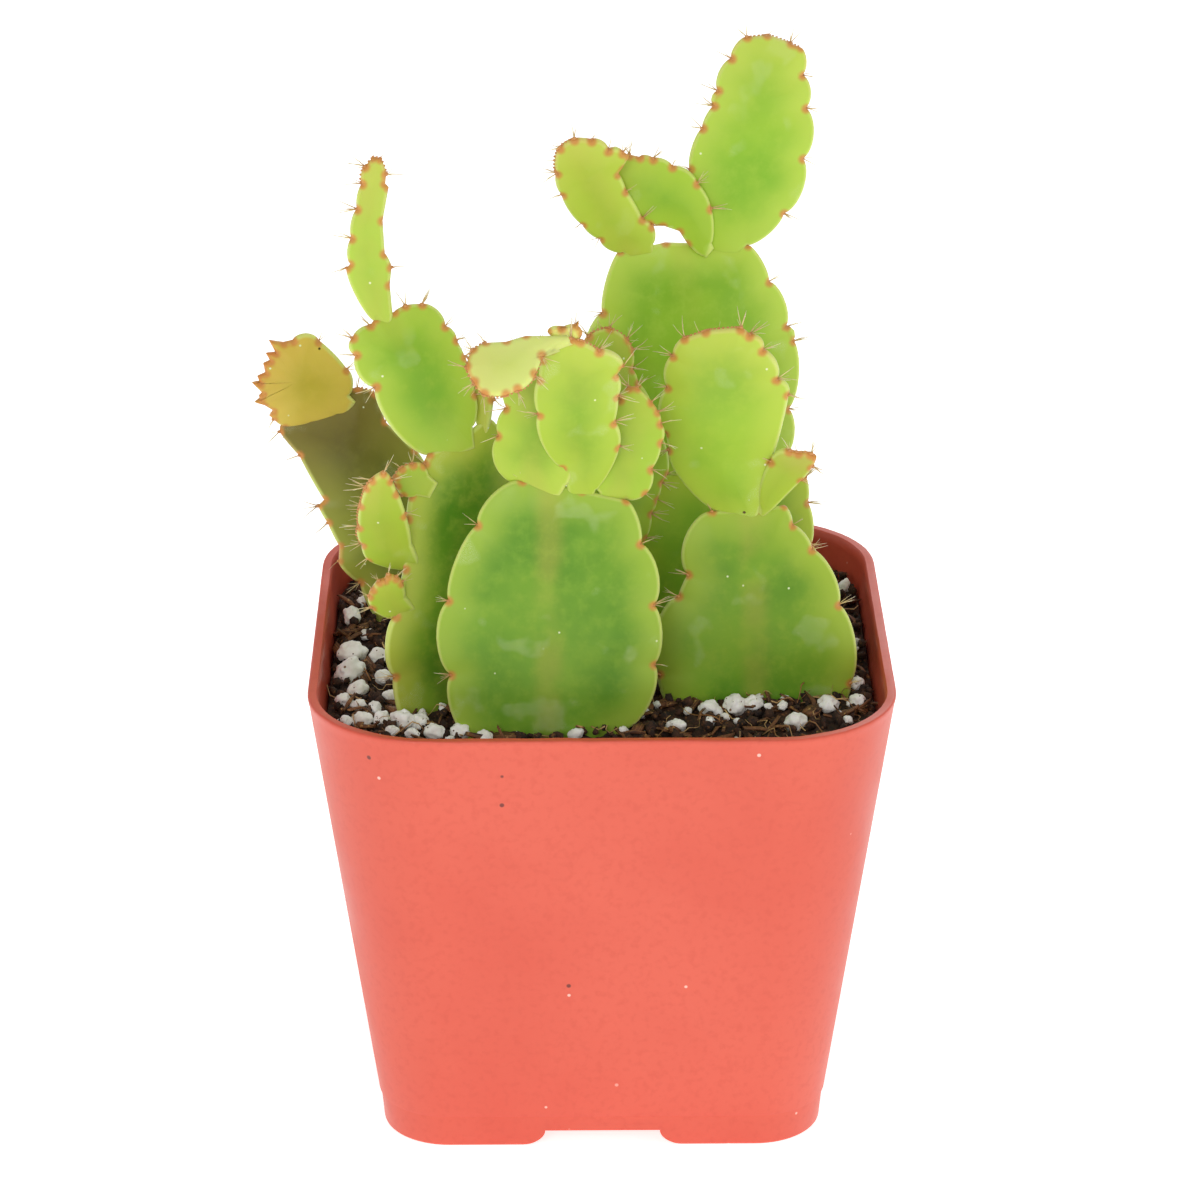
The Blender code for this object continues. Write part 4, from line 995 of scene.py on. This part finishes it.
def mix_surface():
    """A grid pressed into a square with round corners, rough on top, with walls and a base."""
    width, corner = pot_square(MIX_TOP, WALL + GAP)
    reach = width / 2 - corner

    def place(column, row):
        x, y = ((2 * step / MIX_GRID - 1) * width / 2 for step in (column, row))
        over_x, over_y = abs(x) - reach, abs(y) - reach
        if over_x > 0 and over_y > 0:
            shrink = max(over_x, over_y) / math.hypot(over_x, over_y)
            x = math.copysign(reach + over_x * shrink, x)
            y = math.copysign(reach + over_y * shrink, y)
        rough = noise.fractal(Vector((x, y, 5)) * 0.75, 0.8, 2.0, 4)
        return scene_point(x, y, mix_height(x, y) - 0.5 + 0.55 * rough)

    bm = woven(MIX_GRID + 1, MIX_GRID + 1, place)
    made = bmesh.ops.extrude_edge_only(bm, edges=[edge for edge in bm.edges if edge.is_boundary])["geom"]
    foot = [item for item in made if isinstance(item, bmesh.types.BMVert)]
    shrink = pot_square(MIX_BOTTOM, WALL + GAP)[0] / width
    for vert in foot:
        vert.co = Vector((
            POT_X * MM + (vert.co.x - POT_X * MM) * shrink, vert.co.y * shrink, MIX_BOTTOM * MM))
    bmesh.ops.holes_fill(bm, edges=[edge for edge in bm.edges if edge.is_boundary])
    bmesh.ops.recalc_face_normals(bm, faces=bm.faces)
    return bm


def dark_peat():
    material, tree, shader = new_material("dark_peat")
    place = object_place(tree)
    lumps = grain(tree, place, 900, 5, 0.7)
    colour = mixed(tree, ramp(tree, lumps, 0.35, 0.65), srgb(26, 14, 8), srgb(72, 42, 22))
    crumbs = ramp(tree, grain(tree, place, 2400, 3), 0.58, 0.72, 0, 0.8)
    colour = mixed(tree, crumbs, colour, srgb(138, 92, 48))
    tree.links.new(colour, shader.inputs["Base Color"])
    shader.inputs["Roughness"].default_value = 0.85
    bumped(tree, shader, (lumps, 0.8, 0.4))
    return material


def inside_pot(x, y, room):
    """True where a lump of this radius lies clear of the pot's wall."""
    width, corner = pot_square(MIX_TOP, WALL + GAP + room)
    reach = width / 2 - corner
    return math.hypot(max(abs(x) - reach, 0), max(abs(y) - reach, 0)) < corner


def clear_of_stems(x, y, room):
    """True where a lump of this radius stays off every pad at the mix's surface."""
    for pad in pads.values():
        if pad.parent:
            continue
        pose = pad_pose(pad)
        rise = (MIX_TOP - pose.origin.z) / pose.along.z
        sides = [row[0] for row in pad.edge if row[1] < rise + 6]
        left, right = (on_pad(pose, side, rise).xy for side in (min(sides), max(sides)))
        span = right - left
        place = Vector((x, y))
        part = min(max((place - left).dot(span) / span.length_squared, 0), 1)
        if (place - left - span * part).length < room + MIDDLE_HALF:
            return False
    return True


def lump_shape(subdivisions, size, roughness, seed):
    """An uneven lump of about one unit in radius."""
    bm = bmesh.new()
    bm.verts.layers.float.new("strand")
    bmesh.ops.create_icosphere(bm, subdivisions=subdivisions, radius=1)
    for vert in bm.verts:
        swell = noise.noise(vert.co * 1.1 + Vector((seed, 0, 0)))
        swell += 0.5 * noise.noise(vert.co * 2.6 + Vector((0, seed, 0)))
        vert.co *= 1 + roughness * swell
    bmesh.ops.scale(bm, verts=bm.verts, vec=size)
    return small_shape("lump", bm)


def flake_shape(length, width, thickness, bend, seed):
    """A flake of bark with torn edges, its strands running along it."""
    bm = bmesh.new()
    strand = bm.verts.layers.float.new("strand")
    bmesh.ops.create_cube(bm, size=1)
    bmesh.ops.subdivide_edges(bm, edges=bm.edges, cuts=1, use_grid_fill=True)
    for vert in bm.verts:
        vert[strand] = vert.co.y * 6 + vert.co.z * 2 + seed
        x, y, z = vert.co
        taper = 1 - 0.9 * x * x
        torn = noise.noise(Vector((x * 2, y * 3, seed)))
        vert.co = (
            x * length * (1 + 0.3 * torn), y * width * taper * (1 + 0.5 * torn),
            z * thickness * taper + bend * (0.25 - x * x) * length + 0.2 * torn * thickness)
    return small_shape("flake", bm)


def strand_shape(bends, radius, seed):
    """A fine root fibre one unit long, three-sided and crooked."""
    bm = bmesh.new()
    strand = bm.verts.layers.float.new("strand")
    bmesh.ops.create_cone(bm, cap_ends=True, segments=3, radius1=radius, radius2=radius * 0.5, depth=1)
    uprights = [edge for edge in bm.edges if abs(edge.verts[0].co.z - edge.verts[1].co.z) > 0.5]
    bmesh.ops.subdivide_edges(bm, edges=uprights, cuts=5, use_grid_fill=True)
    for vert in bm.verts:
        vert[strand] = seed
        z = vert.co.z
        vert.co.x += bends * noise.noise(Vector((z * 2.2, seed, 0)))
        vert.co.y += bends * noise.noise(Vector((0, seed, z * 2.2)))
    return small_shape("strand", bm)


def lying(x, y, lift, size, draw, steep):
    """The matrix that lays a piece of this size in the surface, turned anyhow."""
    turn = Matrix.Rotation(draw.uniform(0, math.tau), 4, "Z")
    turn = turn @ Matrix.Rotation(draw.uniform(-steep, steep), 4, "Y")
    turn = turn @ Matrix.Rotation(draw.uniform(-steep, steep), 4, "X")
    place = Matrix.Translation(scene_point(x, y, mix_height(x, y) + lift))
    return place @ turn @ Matrix.Scale(size * MM, 4)


def scattered(name, shapes, count, sizes, lift, steep, room, material, seed):
    """One piece made of many small shapes strewn over the mix."""
    draw = random.Random(seed)
    bm = bmesh.new()
    bm.verts.layers.float.new("strand")
    while count:
        x, y = draw.uniform(-28, 28), draw.uniform(-28, 28)
        size = draw.uniform(*sizes)
        if inside_pot(x, y, size * room * 0.6) and clear_of_stems(x, y, size * room * 0.4 - 0.6):
            plant(bm, draw.choice(shapes), lying(x, y, lift * draw.uniform(-1, 1), size, draw, steep))
            count -= 1
    piece = new_piece(name, bm, material)
    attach(piece, "root")
    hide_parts("potting_mix")
    return piece


def torn_bark():
    """Brown bark whose strands are lighter and break into tan splinters."""
    material, tree, shader = new_material("torn_bark")
    place = object_place(tree)
    strand = painted_on(tree, "strand")
    lined = add_node(tree, "ShaderNodeTexNoise", {
        "W": strand, "Scale": 3.0, "Detail": 3.0}, noise_dimensions="1D")
    brown = ramp(tree, grain(tree, place, 500, 4), 0.35, 0.65)
    colour = mixed(tree, brown, srgb(44, 22, 11), srgb(104, 60, 30))
    colour = mixed(tree, ramp(tree, lined.outputs["Fac"], 0.5, 0.66, 0, 0.8), colour, srgb(178, 124, 66))
    splinters = ramp(tree, grain(tree, place, 1800, 3), 0.58, 0.7, 0, 0.7)
    colour = mixed(tree, splinters, colour, srgb(205, 160, 96))
    tree.links.new(colour, shader.inputs["Base Color"])
    shader.inputs["Roughness"].default_value = 0.7
    bumped(tree, shader, (grain(tree, place, 1500, 3), 0.6, 0.15))
    return material


peat = dark_peat()
bark = torn_bark()
ground = new_piece("mix_surface", mix_surface(), peat)
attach(ground, "root")
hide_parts("potting_mix")
crumb_shapes = [lump_shape(1, (1, 0.8, 0.7), 0.6, seed) for seed in range(6)]
CHIP_BENDS = (0.0, 0.3, -0.2, 0.15, 0.5)
SLIVER_BENDS = (0.1, 0.4, -0.3, 0.6)
chip_shapes = [flake_shape(1, 0.42, 0.18, bend, seed) for seed, bend in enumerate(CHIP_BENDS)]
sliver_shapes = [flake_shape(1, 0.13, 0.08, bend, seed) for seed, bend in enumerate(SLIVER_BENDS)]
fibre_shapes = [strand_shape(0.35, 0.02, seed) for seed in range(6)]
scattered("crumbs", crumb_shapes, CRUMBS, (0.3, 0.8), 0.3, 1.5, 1, peat, 21)
scattered("bark_chips", chip_shapes, CHIPS, (1.2, 3.2), 0.3, 0.6, 0.5, bark, 22)
scattered("bark_slivers", sliver_shapes, SLIVERS, (1.4, 3.6), 0.5, 0.8, 0.5, bark, 23)

# Root fibres
# Pale tan threads a few millimetres long that lie crooked over the crumbs.
def straw_fibre():
    material, tree, shader = new_material("straw_fibre")
    shade = ramp(tree, grain(tree, object_place(tree), 350, 2), 0.35, 0.65)
    tree.links.new(mixed(tree, shade, srgb(150, 100, 54), srgb(220, 184, 124)), shader.inputs["Base Color"])
    shader.inputs["Roughness"].default_value = 0.65
    return material


fibre = straw_fibre()
draw = random.Random(24)
bm = bmesh.new()
bm.verts.layers.float.new("strand")
for _ in range(FIBRES):
    while True:
        x, y = draw.uniform(-27, 27), draw.uniform(-27, 27)
        if inside_pot(x, y, 1.4):
            break
    flat = Matrix.Rotation(math.radians(90), 4, "Y")
    place = lying(x, y, draw.uniform(0.2, 0.8), draw.uniform(2.2, 5.0), draw, 0.35)
    plant(bm, draw.choice(fibre_shapes), place @ flat)
fibres = new_piece("root_fibres", bm, fibre)
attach(fibres, "root")
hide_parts("potting_mix")

# Perlite
# White grains of expanded glass mixed through the compost to keep it open: light, rounded
# lumps full of small holes, most of them on the left and some over the front on the right.
PERLITE = [
    (-26.6, 10.4, 1.1), (-25.4, 14.0, 0.8), (-26.3, 0.0, 1.6), (-26.3, -5.0, 1.6), (-23.3, -1.0, 1.3),
    (-22.6, -6.0, 1.0), (-25.2, -9.7, 1.1), (-26.6, -12.2, 1.0), (-25.0, -13.2, 0.8), (-21.8, -10.9, 0.8),
    (-23.3, -13.6, 0.7), (-24.5, -16.7, 1.1), (-22.5, -16.5, 1.0), (-26.3, -17.2, 0.8), (-20.3, -18.0, 1.3),
    (-18.7, -17.8, 1.1), (-18.4, -15.3, 0.6), (-16.3, -14.6, 0.6), (-17.0, -20.2, 1.1), (-14.5, -19.6, 1.1),
    (-21.4, -20.8, 0.8), (-19.3, -21.2, 0.8), (-11.9, -22.2, 1.0), (5.7, -13.2, 0.5), (7.8, -18.6, 0.9),
    (8.8, -14.8, 0.5), (11.1, -14.3, 1.3), (11.0, -18.4, 0.6), (12.6, -16.8, 0.5), (13.7, -13.8, 1.3),
    (15.6, -13.5, 1.1), (17.2, -13.6, 0.5), (18.6, -13.7, 0.6), (19.7, -18.0, 1.3), (23.3, -13.9, 1.1),
    (26.3, -13.2, 1.0), (26.6, -8.2, 0.8), (25.2, -17.4, 0.6),
]
SMALL_PERLITE = 120


def white_perlite():
    """Chalky white, with brown pits and hairline cracks."""
    material, tree, shader = new_material("white_perlite")
    place = object_place(tree)
    chalk = ramp(tree, grain(tree, place, 700, 3), 0.3, 0.7)
    colour = mixed(tree, chalk, srgb(226, 222, 212), srgb(246, 244, 238))
    colour = mixed(tree, specks(tree, place, 1900, 0.3, 0.2), colour, srgb(92, 62, 38))
    colour = mixed(tree, specks(tree, place, 900, 0.14, 0.16), colour, srgb(120, 84, 52))
    cracks = ramp(tree, grain(tree, place, 420, 4, 0.6, 0.8), 0.64, 0.7, 0, 0.6)
    colour = mixed(tree, cracks, colour, srgb(150, 112, 76))
    tree.links.new(colour, shader.inputs["Base Color"])
    shader.inputs["Roughness"].default_value = 0.85
    shader.inputs["Subsurface Weight"].default_value = 0.2
    shader.inputs["Subsurface Radius"].default_value = (1, 0.95, 0.85)
    shader.inputs["Subsurface Scale"].default_value = 0.5 * MM
    bumped(tree, shader, (grain(tree, place, 1300, 4), 0.5, 0.15))
    return material


perlite = white_perlite()
grain_shapes = [lump_shape(4, (1, 0.86, 0.8), 0.32, seed) for seed in range(5)]
pebble_shapes = [lump_shape(3, (1, 0.85, 0.75), 0.4, seed) for seed in range(8, 12)]
draw = random.Random(25)
bm = bmesh.new()
bm.verts.layers.float.new("strand")
for x, y, radius in PERLITE:
    plant(bm, draw.choice(grain_shapes), lying(x, y, radius * 0.35, radius, draw, 0.6))
grains = new_piece("perlite_grains", bm, perlite)
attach(grains, "root")
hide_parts("potting_mix")
PEBBLE_SIZES = (0.25, 0.9)
scattered(
    "small_perlite", pebble_shapes, SMALL_PERLITE, PEBBLE_SIZES, 0.25, 0.8, 1.0, perlite, 26)
